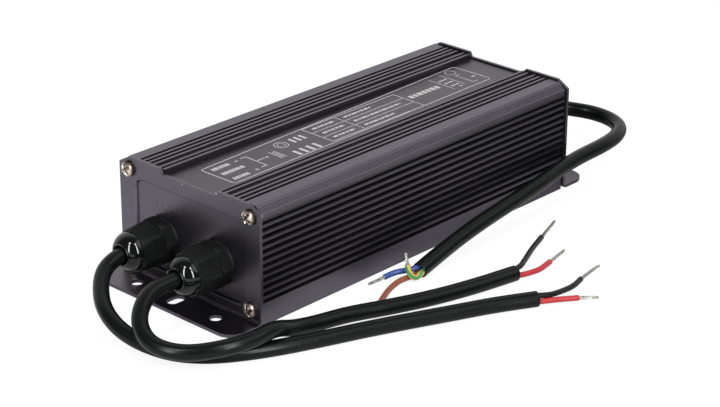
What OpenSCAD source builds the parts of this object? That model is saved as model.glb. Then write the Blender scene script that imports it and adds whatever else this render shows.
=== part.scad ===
// Waterproof power supply in a finned aluminium tube, with folded end plates,
// cable glands and free cable ends. Millimetres, +Z up, +X towards the mains end.
// The origin is at the middle of the base.

/* [Body] */
// Length between the outer faces of the two end plates
body_len = 161; // [159:1:200]
// Width of the end plates
body_w = 68; // [65:0.5:90]
// Height of the end plates
body_h = 43; // [42:0.5:60]
// How far the end plates stand past the tube at its sides and top
plate_proud = 0.6; // [0.2:0.1:1]
// Thickness of the side walls behind the fins
side_wall = 1.8; // [1.4:0.1:2.2]
// Thickness of the tube's floor
floor_t = 2; // [1.4:0.1:3]
// Thickness of the tube's roof under the label channel
roof_t = 2; // [1.4:0.1:2.4]
// Radius of the corners of the hollow
hollow_r = 2; // [1:0.5:3]

/* [Side fins] */
// Distance from one side groove to the next
fin_pitch = 2.575; // [2.2:0.005:3.2]
// Width of a side groove at its mouth
fin_groove_w = 1.45; // [1:0.05:1.8]
// Depth of a side groove
fin_groove_d = 2; // [1:0.1:2.4]
// Height of the smooth band below the grooves
fin_low_band = 8.05; // [4:0.05:12]
// Height of the smooth band above the grooves
fin_high_band = 2.6; // [1:0.1:5]

/* [Top] */
// Width of the label channel
label_w = 25.6; // [22:0.2:28]
// Depth of the label channel below the top ribs
label_d = 1.8; // [1.2:0.1:2.4]
// Width of a rib in the top bands
top_rib_w = 1.1; // [0.8:0.05:1.3]
// Width of a narrow groove in the top bands
top_groove_w = 1.3; // [1:0.05:1.5]
// Width of the wide groove in each top band
top_wide_w = 2.3; // [1.8:0.1:2.5]
// Depth of the three outer grooves
top_groove_d = 1.2; // [0.6:0.1:1.5]
// Depth of the wide groove
top_wide_d = 0.8; // [0.5:0.1:1.5]
// Depth of the groove beside the label channel
top_inner_d = 0.5; // [0.3:0.1:1.2]
// Width that the sloped edge takes off the top
edge_in = 2.8; // [2:0.1:3.4]
// Height that the sloped edge takes off the side
edge_down = 2.5; // [1.5:0.1:3.4]
// Depth of the fine lines on the sloped edge
edge_line_d = 0.3; // [0.15:0.05:0.5]

/* [End plates] */
// Thickness of the sheet
sheet_t = 1.2; // [1:0.1:1.6]
// Length of a mounting flange
flange_len = 13.5; // [12:0.5:20]
// Inner radius of the fold
fold_r = 1.2; // [0.6:0.1:1.6]
// Radius of the flange's outer corners
flange_r = 6.5; // [3:0.5:9]
// Diameter of the round mounting holes
mount_hole = 4.4; // [3.4:0.1:5]
// Distance between the round mounting holes of one flange
mount_span = 39; // [30:1:44]
// Distance of the mounting holes from the plate's outer face
mount_out = 6.7; // [6:0.1:7.5]
// Length of the middle slot, with its round ends
slot_len = 7; // [5:0.5:8]
// Side margin of the recessed panel
panel_side = 7.5; // [7.2:0.1:10]
// Height of the recessed panel's lower edge
panel_low = 5.5; // [5.2:0.1:7]
// Margin between the recessed panel and the plate's top
panel_high = 7; // [6.5:0.5:9]
// Depth of the recessed panel
panel_d = 0.8; // [0.4:0.1:1]
// Corner radius of the recessed panel
panel_r = 4; // [4:0.5:7]
// Width that the plate's sloped upper corners take off its top
corner_in = 4.9; // [3:0.1:6]
// Height that they take off its sides
corner_down = 2.8; // [1.5:0.1:3.5]
// Extra width of the plate's top notch on each side, at its mouth
notch_flare = 1.1; // [0.4:0.1:1.6]
// Thickness of the gaskets under the plates
gasket_t = 0.4; // [0.3:0.1:1]

/* [End screws] */
// Distance of the screws from the plate's sides
screw_side = 4.7; // [4.5:0.1:5]
// Height of the lower screws
screw_low = 5.2; // [4.8:0.1:5.4]
// Distance of the upper screws from the plate's top
screw_high = 4.5; // [4.4:0.1:5]
// Diameter of a screw head
screw_head = 5.6; // [5:0.1:6]
// Height of a screw head
screw_head_h = 1.8; // [1.2:0.1:2.4]
// Diameter of a screw shank
screw_d = 2.8; // [2.4:0.1:3]
// Length of a screw shank
screw_len = 10; // [6:1:14]

/* [Glands] */
// Distance between the two output glands
gland_span = 27; // [24:1:34]
// Height of the gland axes
gland_z = 17.3; // [16:0.1:22]
// Width across the flats of gland body and cap nut
gland_af = 15; // [14.5:0.5:17]
// Radius to which the corners of the gland body are rounded
gland_corner = 8.3; // [8:0.1:8.6]
// Length of the gland body's hexagon
gland_hex_len = 4.6; // [3:0.1:6]
// Seam between gland body and cap nut
gland_seam = 0.3; // [0.2:0.1:1]
// Length of the gland outside the plate
gland_len = 19; // [18:0.5:24]
// Diameter of the gland thread
thread_d = 12; // [11:0.5:12.5]
// Length of the thread inside the plate
thread_in = 8; // [7:0.5:10]
// Thickness of the lock nut
locknut_t = 3; // [2:0.5:4]
// Diameter of the cap nut's mouth
mouth_d = 6.8; // [6.4:0.1:7.4]
// How much narrower the cap nut is across its flats at its lip
cap_taper = 0.9; // [0:0.1:1.2]
// Turn of the left cap nut
left_cap_turn = 40; // [0:5:55]
// Turn of the right cap nut
right_cap_turn = 55; // [0:5:55]
// Number of knurl lines on each flat of the cap nut
knurl_lines = 6; // [0:1:8]
// Depth of the knurl lines
knurl_d = 0.25; // [0.1:0.05:0.4]

/* [Cables] */
// Diameter of the output cables
output_d = 5.5; // [5:0.1:5.6]
// Diameter of the mains cable
mains_d = 5.7; // [5:0.1:6]
// Diameter of the output wires
output_wire_d = 1.7; // [1.4:0.1:1.8]
// Diameter of the mains wires
mains_wire_d = 1.9; // [1.6:0.1:2]
// Diameter of a tinned wire end
tinned_d = 0.9; // [0.6:0.1:1.1]

/* [Board] */
// Height of the board's underside
board_z = 9.5; // [9.3:0.1:11]
// Thickness of the board
board_t = 1.6; // [1.2:0.1:2]
// Thickness of the ribs that hold the board
slot_rib_t = 1.2; // [0.8:0.1:1.4]
// Width of the ribs that hold the board
slot_rib_w = 2.2; // [1.5:0.1:2.5]
// Diameter of the component pins
pin_d = 0.8; // [0.5:0.1:1]
// How far the pins stand out below the board
pin_out = 1.3; // [0.8:0.1:1.6]

/* [Parts on the board] */
// Diameter of the bulk capacitor
bulk_d = 18; // [12:0.5:18]
// Gap between the bulk capacitor and the tube's roof
bulk_head = 2.8; // [0.5:0.1:11]
// Diameter of the output capacitors
out_cap_d = 10; // [8:0.5:11]
// Height of the output capacitors
out_cap_h = 20; // [12:1:24]
// Outer diameter of the line choke's core
choke_d = 18; // [14:0.5:18]
// Height of the line choke's core
choke_h = 8; // [6:0.5:10]
// Length of the transformer core
core_len = 25.6; // [22:0.2:26]
// Width of the transformer core
core_w = 25.4; // [22:0.2:26]
// Thickness of the transformer core
core_t = 7; // [6:0.5:8]
// Length of a heat spreader
spreader_len = 20; // [14:1:20]
// Thickness of a heat spreader
spreader_t = 2; // [1.5:0.1:2.5]

/* [Hidden] */
$fn = 48;

// Gap between pieces that sit face to face
fit_gap = 0.1;
// Gap round pieces that are dropped or slid into place
drop_gap = 0.2;
// Overcut that lets a cutter pass through a face
over = 1;

// Tube
plate_x = body_len / 2;
tube_x = plate_x - sheet_t - gasket_t;
tube_half_w = body_w / 2 - plate_proud;
tube_top = body_h - plate_proud;
side_top = tube_top - edge_down;
shoulder = tube_half_w - edge_in;
hollow_half_w = tube_half_w - fin_groove_d - side_wall;
hollow_top = tube_top - label_d - roof_t;
fin_field_top = side_top - fin_high_band;
fin_count = ceil((fin_field_top - fin_low_band) / fin_pitch);
fin_floor_w = fin_groove_w - 0.4;
edge_line_w = 0.35;
edge_lines = [0.2, 0.4, 0.6];

// Screws and the ports that take them
screw_y = body_w / 2 - screw_side;
screw_top_z = body_h - screw_high;
port_wall = 1.4;
port_r = screw_d / 2 + fit_gap;
port_boss_r = port_r + port_wall;
port_slit = 1.2;
screw_hole_r = screw_d / 2 + drop_gap;
drive_w = 0.9;
drive_l = 3.2;
drive_depth = 1;

// Panel of the end plates
panel_w = body_w - 2 * panel_side;
panel_h = body_h - panel_high - panel_low;
panel_mid_z = panel_low + panel_h / 2;
gasket_inset = 1.4;

// Glands, as lengths out from the plate
gland_hex_r = gland_af / 2 / cos(30);
cap_start = gland_hex_len + gland_seam;
cap_dome_r = 5.1;
cap_lip_in = gland_len - cap_dome_r;
cap_lip_half = (gland_af - cap_taper) / 2;
cap_dome_w = cap_lip_half - 0.15;
cap_back_w = gland_hex_r - 0.1;
cap_lip_w = cap_lip_half + 0.5;
cap_slope = atan(cap_taper / 2 / (cap_lip_in - cap_start));
neck_r = thread_d / 2 - 0.1;
neck_end = gland_len - 5;
bush_seat = gland_hex_len + 2.4;
bush_r = neck_r - 0.9;
gland_bore_r = 3.8;
bush_end = gland_len - 4.2;
knurl_w = 0.4;
knurl_span = gland_hex_r - 2.6;
knurl_start = cap_start + 0.8;
knurl_end = cap_lip_in - 1.2;
knurl_mid = (knurl_start + knurl_end) / 2;
washer_r = gland_af / 2 - 0.2;

// Board and its slots
board_top = board_z + board_t;
board_x = plate_x - thread_in - 2.5;
board_half_w = hollow_half_w - drop_gap;
slot_h = board_t + 2 * drop_gap;
slot_low_z = board_z - drop_gap;
slot_high_z = slot_low_z + slot_h;
seat_z = board_top + drop_gap;
pin_r = pin_d / 2;
bed_half_w = min(screw_y - port_boss_r, hollow_half_w - hollow_r) - 0.3;
solder_r = pin_r + 0.6;

// Sizes of the smaller parts
bulk_h = hollow_top - bulk_head - seat_z;
fuse_d = 8.6;
fuse_h = 8;
fuse_pitch = 5.08;
varistor_d = 14;
varistor_t = 4.6;
varistor_pitch = 7.5;
x_cap_l = 8.5;
x_cap_w = 18;
x_cap_h = 15;
x_cap_pitch = 15;
bridge_t = 4;
bridge_w = 15;
bridge_h = 11;
bridge_pitch = 3.8;
y_cap_d = 9;
y_cap_t = 4;
y_cap_pitch = 7.5;
bulk_pitch = 7.5;
out_cap_pitch = 5;
case_r = 0.8;
chip_l = 9.6;
opto_l = 4.6;
chip_w = 6.4;
chip_h = 3.4;
opto_h = 3.5;
chip_pitch = 2.54;
chip_row = 7.62;
chip_lift = 0.5;
chip_leg = 0.5;
winding_t = 1.6;
choke_hole_d = choke_d / 2;
choke_sweep = 140;
choke_pitch = 7;
choke_lift = winding_t + 0.2;
out_choke_d = 13;
out_choke_h = 14;
out_choke_rod = 6;
out_choke_rim = 1.8;
out_choke_pitch = 6;

// Places on the board along X: the mains parts in a row from the mains end, the output
// parts in a row from the output end, and the transformer in the room between them
mains_first = board_x - board_x * 6 / 35;
output_first = board_x / 5 - board_x;
x_cap_on = 9;
choke_on = 14;
bridge_on = 20;
switch_on = 34;
bulk_on = 35;
out_cap_step = 12;
out_choke_on = 10;
rectifier_on = 32;
switch_x = mains_first - switch_on;
rectifier_x = output_first + rectifier_on;
bulk_x = mains_first - bulk_on;
row_start = bulk_x - bulk_d / 2;
row_end = output_first + 2 * out_cap_step + out_cap_d / 2;
core_x = row_start - (row_start - row_end - core_len) * 3 / 11 - core_len / 2;
chip_step = 7;
chip_on = 3;

// Places on the board across it, which spread with the board's width
laid_half_w = 29.4;
across = board_half_w / laid_half_w;
fuse_y = 16;
varistor_y = 13;
filter_y = 15;
choke_y = 11;
bulk_y = 12;
chip_y = 19;
y_cap_y = 20;
out_cap_y = 8;
out_choke_y = 13;

fuse_at = [mains_first, -fuse_y * across];
varistor_at = [mains_first, varistor_y * across];
x_cap_at = [mains_first - x_cap_on, -filter_y * across];
choke_at = [mains_first - choke_on, choke_y * across];
bridge_at = [mains_first - bridge_on, -filter_y * across];
bulk_at = [bulk_x, bulk_y * across];
transformer_at = [core_x, 0];
chip_at = [core_x + chip_on + chip_step, -chip_y * across];
opto_at = [core_x + chip_on - chip_step, -chip_y * across];
y_cap_at = [core_x, y_cap_y * across];
out_cap_at = [for (i = [0:2]) [output_first + out_cap_step * i, out_cap_y * across]];
out_choke_at = [output_first + out_choke_on, -out_choke_y * across];

// Transistor cases and their spreaders
case_w = 10;
case_h = 15;
case_t = 4.5;
case_tab_h = 6;
case_tab_t = 1.3;
case_lead_pitch = 2.54;
case_lead = 0.8;
case_z = board_top + 4;
case_hole_z = case_z + case_h - 2.8;
case_hole_r = 1.9;
pad_t = 0.3;
spreader_y = -(hollow_half_w - drop_gap);
spreader_low = slot_high_z + slot_rib_t + drop_gap;
spreader_high = screw_top_z - port_boss_r - 0.6;
case_back_y = spreader_y + spreader_t + pad_t + 2 * fit_gap;
case_screw_r = 1.5;
case_screw_head_r = 2.6;
case_screw_head_h = 1.6;

// Transformer
core_leg = 7;
core_side = 3.2;
core_back = 3.4;
core_mid_z = board_top + 13;
bobbin_wall = 0.8;
bobbin_gap = 0.25;
bobbin_w = core_w - 2 * core_side - 2 * bobbin_gap;
bobbin_len = core_len - 2 * core_back - 2 * bobbin_gap;
bobbin_tube = core_leg + 2 * (bobbin_gap + bobbin_wall);
bobbin_pitch = 5;
winding_w = bobbin_w - 1.2;
rail_w = 4;

// Wires inside the housing
tail_r = 0.8;
tail_bend = 2.5;
tail_start = plate_x - thread_in - 0.2;
tail_x = board_x - 4;
output_tail_gap = 3;
mains_tail_gap = 2.4;

// Free cables and wires. Their points are placed by hand for a body of laid_w: x is
// counted from the plate that the cable leaves, y spreads with the body's width
laid_w = 68;
lie_gap = 0.05;
lie_z = output_d / 2 + lie_gap;
cross_z = lie_z + output_d + 0.45;
tin_gap = 0.2;

function laid(end, points) =
    [for (p = points) [end * plate_x + p[0], p[1] * body_w / laid_w, p[2]]];
function through_gland(end, y) = [
    [end * (plate_x - thread_in), y, gland_z],
    [end * (plate_x + gland_len), y, gland_z]
];

left_cable_route = concat(through_gland(-1, gland_span / 2), laid(-1, [
    [-26.5, 12.5, 15.2], [-33.5, 6.5, 12.3], [-39, -2, 9.5], [-41, -11.5, 6.7],
    [-39.5, -21.5, 4.5], [-35.5, -31, lie_z + 0.4], [-29, -39, lie_z], [-20.5, -45.5, lie_z],
    [-9.5, -51.5, lie_z], [4.5, -57.5, lie_z], [18.5, -63, lie_z], [32.5, -69, lie_z],
    [47, -75.5, lie_z], [61.5, -82, lie_z], [75.5, -89.5, lie_z]
]));
right_cable_route = concat(through_gland(-1, -gland_span / 2), laid(-1, [
    [-30, -13.5, 16.4], [-39, -18.5, 12], [-42.5, -27.5, 8.2], [-39, -37.5, 7],
    [-30.5, -45.5, 7.8], [-19.5, -50, cross_z], [-9.5, -49.8, cross_z], [0, -48.4, 5.2],
    [9.5, -48.4, lie_z + 0.3], [22.5, -51.5, lie_z], [37.5, -58, lie_z], [52, -63.5, lie_z],
    [68.5, -68, lie_z], [86, -71.5, lie_z]
]));
mains_cable_route = concat(through_gland(1, 0), laid(1, [
    [28.5, -1, 16.7], [35.5, -7, 15], [40, -15, 14.3], [40.5, -24, 13.8],
    [36.5, -31.5, 13.6], [28.5, -36, 13.5], [17.5, -38, 13.5], [3.5, -38.3, 13.2],
    [-10.5, -39.3, 12.6], [-24.5, -41.2, 11.7], [-39.5, -42.4, 10.5], [-54, -43, 9],
    [-68.5, -43.8, 7.3], [-82.5, -45.1, 5.4], [-97, -46.6, 3]
]));
left_black_route = laid(-1, [
    [76, -89, 3.6], [80.5, -90.8, 3], [86.7, -91, 2.2], [94, -90.4, 1.5], [100.5, -88.6, 1.2]
]);
left_red_route = laid(-1, [[75.9, -90.3, 1.9], [81.9, -93.2, 1.5], [88.5, -97, 1.1]]);
right_black_route = laid(-1, [
    [86.5, -70.9, 3.8], [90.5, -70, 3.6], [95.5, -67.6, 3], [105.5, -62.8, 2.4],
    [117.5, -57.7, 1.6]
]);
right_red_route = laid(-1, [
    [86.4, -72.4, 2], [90.5, -73.5, 1.8], [96, -73.9, 1.5], [104, -72.3, 1.2]
]);
mains_blue_route = laid(1, [
    [-98.2, -45.5, 3.9], [-100.3, -43.7, 3.3], [-102.2, -42, 3], [-105, -40.8, 2.6],
    [-108, -40.3, 2.2]
]);
mains_brown_route = laid(1, [
    [-97.8, -46, 1.8], [-101, -45.5, 1.6], [-105.5, -45.1, 1.5], [-111.5, -46.3, 1.2],
    [-117, -48.6, 1.1], [-122.5, -51.4, 1]
]);
mains_earth_route = laid(1, [
    [-97.8, -48, 2.5], [-99.6, -48, 1.8], [-101.2, -47.6, 2.2], [-102.2, -46.9, 3.8],
    [-102.4, -46.3, 5.5], [-102.4, -46, 7]
]);
left_tips = laid(-1, [[113.5, -86.7, 1], [93.8, -101.4, 0.8]]);
right_tips = laid(-1, [[132.5, -51.8, 1], [115.5, -69.4, 0.8]]);
mains_tips = laid(1, [[-114.5, -39.2, 1.6], [-127.5, -52.4, 0.8], [-102, -44.6, 10.6]]);

function unit(v) = v / norm(v);
function tangent(p, i) =
    i == 0 ? unit(p[1] - p[0])
    : i == len(p) - 1 ? unit(p[i] - p[i - 1])
    : unit(unit(p[i + 1] - p[i]) + unit(p[i] - p[i - 1]));
function ring(c, t, r, n, away) =
    let (side = unit(cross(t, away)), top = cross(side, t))
    [for (k = [0:n - 1]) c + r * (cos(360 * k / n) * side + sin(360 * k / n) * top)];

// A round tube of n sides along the points p
module swept_tube(p, r, n, away = [0, 0, 1]) {
    points = [for (i = [0:len(p) - 1]) each ring(p[i], tangent(p, i), r, n, away)];
    last = (len(p) - 1) * n;
    walls = [for (i = [0:len(p) - 2]) for (k = [0:n - 1])
        [i * n + k, i * n + (k + 1) % n, (i + 1) * n + (k + 1) % n, (i + 1) * n + k]];
    ends = [[for (k = [n - 1:-1:0]) k], [for (k = [0:n - 1]) last + k]];
    polyhedron(points = points, faces = concat(walls, ends), convexity = 6);
}

// A straight round rod from a to b
module rod(a, b, r) {
    d = b - a;
    translate(a)
        rotate([0, acos(d[2] / norm(d)), atan2(d[1], d[0])])
            cylinder(h = norm(d), r = r);
}

// A flat rectangle with round corners, centred
module round_rect(w, h, r) {
    square([w - 2 * r, h], center = true);
    square([w, h - 2 * r], center = true);
    for (x = [-1, 1]) for (y = [-1, 1])
        translate([x * (w / 2 - r), y * (h / 2 - r)]) circle(r);
}

// Stands a flat shape up, so that its x runs along Y and its y along Z,
// and gives it a thickness from x0 to x1
module along_x(x0, x1) {
    translate([x0, 0, 0]) rotate([90, 0, 90]) linear_extrude(x1 - x0) children();
}

// Puts children at the four screws of an end, in the flat of that end
module at_screws_flat() {
    for (y = [-screw_y, screw_y]) for (z = [screw_low, screw_top_z])
        translate([y, z]) children();
}

// Tube housing
module tube_outline() {
    polygon([
        [-tube_half_w, 0], [tube_half_w, 0], [tube_half_w, side_top],
        [shoulder, tube_top], [-shoulder, tube_top], [-tube_half_w, side_top]
    ]);
}

module side_grooves() {
    intersection() {
        translate([-tube_half_w - over, fin_low_band])
            square([2 * tube_half_w + 2 * over, fin_field_top - fin_low_band]);
        for (s = [-1, 1]) for (i = [0:fin_count - 1])
            translate([s * tube_half_w, fin_low_band + fin_groove_w / 2 + i * fin_pitch])
                polygon([
                    [s * over, fin_groove_w / 2], [0, fin_groove_w / 2],
                    [-s * fin_groove_d, fin_floor_w / 2], [-s * fin_groove_d, -fin_floor_w / 2],
                    [0, -fin_groove_w / 2], [s * over, -fin_groove_w / 2]
                ]);
    }
}

// One groove of a top band, from its inner edge outwards
module top_groove(inner, w, d) {
    translate([inner, tube_top - d]) square([w, d + over]);
}

module top_grooves() {
    first = label_w / 2 + top_rib_w;
    wide = first + top_groove_w + top_rib_w;
    outer = wide + top_wide_w + top_rib_w;
    for (s = [0, 1]) mirror([s, 0]) {
        top_groove(first, top_groove_w, top_inner_d);
        top_groove(wide, top_wide_w, top_wide_d);
        for (i = [0:2])
            top_groove(outer + i * (top_groove_w + top_rib_w), top_groove_w, top_groove_d);
        for (t = edge_lines)
            translate([tube_half_w - t * edge_in, side_top + t * edge_down])
                rotate(-atan2(edge_down, edge_in))
                    square([edge_line_w, 2 * edge_line_d], center = true);
    }
    translate([-label_w / 2, tube_top - label_d]) square([label_w, label_d + over]);
}

// The corner that carries a screw's port stands on the floor or hangs from the roof
module port_corner(z, wall_z) {
    translate([screw_y, z]) circle(port_boss_r);
    translate([screw_y - port_boss_r, min(z, wall_z)])
        square([2 * port_boss_r, abs(wall_z - z)]);
}

module board_rib(low, high) {
    translate([hollow_half_w - slot_rib_w, low]) square([slot_rib_w + over, high - low]);
}

module hollow_outline() {
    difference() {
        translate([0, (floor_t + hollow_top) / 2])
            round_rect(2 * hollow_half_w, hollow_top - floor_t, hollow_r);
        for (s = [0, 1]) mirror([s, 0]) {
            port_corner(screw_low, floor_t - over);
            port_corner(screw_top_z, hollow_top + over);
            board_rib(screw_low, slot_low_z);
            board_rib(slot_high_z, slot_high_z + slot_rib_t);
        }
    }
}

// The open port that a screw cuts its thread into, with its slit to the hollow
module screw_port(slit_turn) {
    circle(port_r);
    rotate(slit_turn) translate([0, -port_slit / 2]) square([port_boss_r + over, port_slit]);
}

module tube_section() {
    difference() {
        tube_outline();
        side_grooves();
        top_grooves();
        hollow_outline();
        for (s = [0, 1]) mirror([s, 0]) {
            translate([screw_y, screw_low]) screw_port(180);
            translate([screw_y, screw_top_z]) screw_port(225);
        }
    }
}

module housing() {
    color("dimgray") along_x(-tube_x, tube_x) tube_section();
}

// End plates: one sheet folded once, drawn with x out from the plate's outer face
module plate_outline() {
    half = body_w / 2;
    notch = label_w / 2;
    notch_z = body_h - label_d;
    polygon([
        [-half, -over], [half, -over], [half, body_h - corner_down],
        [half - corner_in, body_h], [notch + notch_flare, body_h], [notch, notch_z],
        [-notch, notch_z], [-notch - notch_flare, body_h], [corner_in - half, body_h],
        [-half, body_h - corner_down]
    ]);
}

module fold_section() {
    translate([-sheet_t, fold_r + sheet_t]) square([sheet_t, body_h - fold_r - sheet_t]);
    translate([fold_r, 0]) square([flange_len - fold_r, sheet_t]);
    intersection() {
        translate([fold_r, fold_r + sheet_t]) difference() {
            circle(fold_r + sheet_t);
            circle(fold_r);
        }
        translate([-sheet_t, 0]) square(fold_r + sheet_t);
    }
}

module sheet_plan() {
    translate([-sheet_t, -body_w / 2]) square([sheet_t + flange_len - flange_r, body_w]);
    translate([0, flange_r - body_w / 2]) square([flange_len, body_w - 2 * flange_r]);
    for (s = [-1, 1])
        translate([flange_len - flange_r, s * (body_w / 2 - flange_r)]) circle(flange_r);
}

module folded_sheet() {
    intersection() {
        rotate([90, 0, 0]) linear_extrude(body_w, center = true) fold_section();
        along_x(-sheet_t - over, flange_len + over) plate_outline();
        linear_extrude(body_h) sheet_plan();
    }
}

module panel() {
    translate([0, panel_mid_z]) round_rect(panel_w, panel_h, panel_r);
}

module round_slot(length, w) {
    square([length - w, w], center = true);
    for (s = [-1, 1]) translate([s * (length - w) / 2, 0]) circle(d = w);
}

module end_plate(gland_ys) {
    difference() {
        union() {
            folded_sheet();
            along_x(-sheet_t - panel_d, -sheet_t + fit_gap) panel();
        }
        along_x(-panel_d, over) panel();
        along_x(-sheet_t - panel_d - over, over) for (y = gland_ys)
            translate([y, gland_z]) circle(thread_d / 2 + drop_gap);
        along_x(-sheet_t - over, over) at_screws_flat() circle(screw_hole_r);
        translate([mount_out, 0, -over]) linear_extrude(sheet_t + 2 * over) {
            for (s = [-1, 1]) translate([0, s * mount_span / 2]) circle(d = mount_hole);
            round_slot(slot_len, mount_hole);
        }
    }
}

output_ys = [gland_span / 2, -gland_span / 2];

module front_end_plate() {
    color("gray") translate([-plate_x, 0, 0]) mirror([1, 0, 0]) end_plate(output_ys);
}

module rear_end_plate() {
    color("gray") translate([plate_x, 0, 0]) end_plate([0]);
}

// Gaskets
module gasket_flat() {
    difference() {
        translate([0, (tube_top - label_d) / 2])
            round_rect(2 * (tube_half_w - fin_groove_d), tube_top - label_d - gasket_inset, hollow_r);
        translate([0, panel_mid_z]) round_rect(panel_w + 1, panel_h + 1, panel_r + 0.5);
        at_screws_flat() circle(screw_hole_r);
    }
}

module front_gasket() {
    color("darkslategray") along_x(-plate_x + sheet_t, -tube_x) gasket_flat();
}

module rear_gasket() {
    color("darkslategray") along_x(tube_x, plate_x - sheet_t) gasket_flat();
}

// Pan head screw with a cross recess, head at x = 0 and shank towards +X
module end_screw() {
    difference() {
        union() {
            rotate([0, 90, 0]) cylinder(h = screw_len, d = screw_d);
            rotate([0, -90, 0]) intersection() {
                cylinder(h = screw_head_h, d = screw_head);
                translate([0, 0, screw_head_h - screw_head]) sphere(screw_head);
            }
        }
        for (a = [45, 135])
            translate([-screw_head_h, 0, 0]) rotate([a, 0, 0])
                cube([2 * drive_depth, drive_w, drive_l], center = true);
    }
}

module end_screws() {
    for (y = [-screw_y, screw_y]) for (z = [screw_low, screw_top_z])
        translate([-plate_x, y, z]) end_screw();
}

module front_screws() {
    color("silver") end_screws();
}

module rear_screws() {
    color("silver") mirror([1, 0, 0]) end_screws();
}

// Glands are drawn with Z out from the plate; this puts one at an end
module at_gland(y, end) {
    translate([end * plate_x, y, gland_z]) rotate([0, end * 90, 0]) children();
}

module hexagon(h, across) {
    rotate([0, 0, 30]) cylinder(h = h, r = across / 2 / cos(30), $fn = 6);
}

module gland_body() {
    color([0.16, 0.16, 0.17]) difference() {
        union() {
            intersection() {
                hexagon(gland_hex_len, gland_af);
                cylinder(h = gland_hex_len, r = gland_corner);
            }
            translate([0, 0, -thread_in]) cylinder(h = thread_in + fit_gap, d = thread_d);
            cylinder(h = neck_end, r = neck_r);
        }
        translate([0, 0, -thread_in - over])
            cylinder(h = neck_end + thread_in + 2 * over, r = gland_bore_r);
        translate([0, 0, bush_seat]) cylinder(h = neck_end, r = bush_r + fit_gap);
    }
}

module gland_bush(cable_d) {
    color([0.1, 0.1, 0.1]) difference() {
        translate([0, 0, bush_seat + fit_gap]) cylinder(h = bush_end - bush_seat - fit_gap, r = bush_r);
        cylinder(h = gland_len, r = cable_d / 2 + fit_gap);
    }
}

module cap_profile() {
    difference() {
        union() {
            polygon([
                [0, cap_start], [cap_back_w, cap_start], [cap_lip_w, cap_lip_in], [0, cap_lip_in]
            ]);
            translate([0, cap_lip_in]) square([cap_dome_w - cap_dome_r, cap_dome_r]);
            translate([cap_dome_w - cap_dome_r, cap_lip_in]) circle(cap_dome_r);
        }
        translate([-over, cap_start - over])
            square([neck_r + drop_gap + over, neck_end + 0.4 - cap_start + over]);
        translate([-over, 0]) square([mouth_d / 2 + over, gland_len + over]);
        translate([-over, 0]) square([bush_r + fit_gap + over, bush_end + fit_gap]);
        translate([-gland_len, 0]) square([gland_len, 2 * gland_len]);
    }
}

// Half the width of the cap nut's tapered hexagon, so far out from the plate
function cap_half(out) = gland_af / 2 - (out - cap_start) * tan(cap_slope);

module cap_hexagon() {
    low = cap_start - 1;
    high = gland_len + 1;
    translate([0, 0, low]) rotate([0, 0, 30])
        cylinder(
            h = high - low, r1 = cap_half(low) / cos(30), r2 = cap_half(high) / cos(30), $fn = 6
        );
}

// Cap nut: a tapered hexagon with a lip, its round dome, and fine lines along its flats
module gland_cap(turn) {
    color([0.14, 0.14, 0.15]) rotate([0, 0, turn]) difference() {
        intersection() {
            rotate_extrude($fn = 64) cap_profile();
            cap_hexagon();
        }
        for (a = [0:60:300]) for (i = [0:1:knurl_lines - 1])
            rotate([0, 0, a])
                translate([
                    cap_half(knurl_mid),
                    (i - (knurl_lines - 1) / 2) * knurl_span / max(knurl_lines, 1),
                    knurl_mid
                ])
                    rotate([0, -cap_slope, 0])
                        cube([2 * knurl_d, knurl_w, knurl_end - knurl_start], center = true);
    }
}

module gland_washer() {
    translate([0, 0, -panel_d]) difference() {
        cylinder(h = panel_d, r = washer_r);
        translate([0, 0, -over]) cylinder(h = panel_d + 2 * over, r = thread_d / 2 + drop_gap);
    }
}

module gland_locknut() {
    translate([0, 0, -sheet_t - panel_d - locknut_t]) difference() {
        hexagon(locknut_t, gland_af);
        translate([0, 0, -over]) cylinder(h = locknut_t + 2 * over, r = thread_d / 2 + fit_gap);
    }
}

module left_gland_body() {
    at_gland(output_ys[0], -1) gland_body();
}

module right_gland_body() {
    at_gland(output_ys[1], -1) gland_body();
}

module mains_gland_body() {
    at_gland(0, 1) gland_body();
}

module left_gland_bush() {
    at_gland(output_ys[0], -1) gland_bush(output_d);
}

module right_gland_bush() {
    at_gland(output_ys[1], -1) gland_bush(output_d);
}

module mains_gland_bush() {
    at_gland(0, 1) gland_bush(mains_d);
}

module left_gland_cap() {
    at_gland(output_ys[0], -1) gland_cap(left_cap_turn);
}

module right_gland_cap() {
    at_gland(output_ys[1], -1) gland_cap(right_cap_turn);
}

module mains_gland_cap() {
    at_gland(0, 1) gland_cap(0);
}

module gland_washers() {
    color("black") {
        for (y = output_ys) at_gland(y, -1) gland_washer();
        at_gland(0, 1) gland_washer();
    }
}

module gland_locknuts() {
    color([0.15, 0.15, 0.15]) {
        for (y = output_ys) at_gland(y, -1) gland_locknut();
        at_gland(0, 1) gland_locknut();
    }
}

// Cables and wires
module left_output_cable() {
    color("black") swept_tube(left_cable_route, output_d / 2, 12);
}

module right_output_cable() {
    color("black") swept_tube(right_cable_route, output_d / 2, 12);
}

module mains_cable() {
    color("black") swept_tube(mains_cable_route, mains_d / 2, 12);
}

module left_black_wire() {
    color("black") swept_tube(left_black_route, output_wire_d / 2, 8);
}

module left_red_wire() {
    color("red") swept_tube(left_red_route, output_wire_d / 2, 8);
}

module right_black_wire() {
    color("black") swept_tube(right_black_route, output_wire_d / 2, 8);
}

module right_red_wire() {
    color("red") swept_tube(right_red_route, output_wire_d / 2, 8);
}

module mains_blue_wire() {
    color("royalblue") swept_tube(mains_blue_route, mains_wire_d / 2, 8);
}

module mains_brown_wire() {
    color("sienna") swept_tube(mains_brown_route, mains_wire_d / 2, 8);
}

module mains_earth_wire() {
    color("yellowgreen") swept_tube(mains_earth_route, mains_wire_d / 2, 8, [0, 1, 0]);
}

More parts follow.
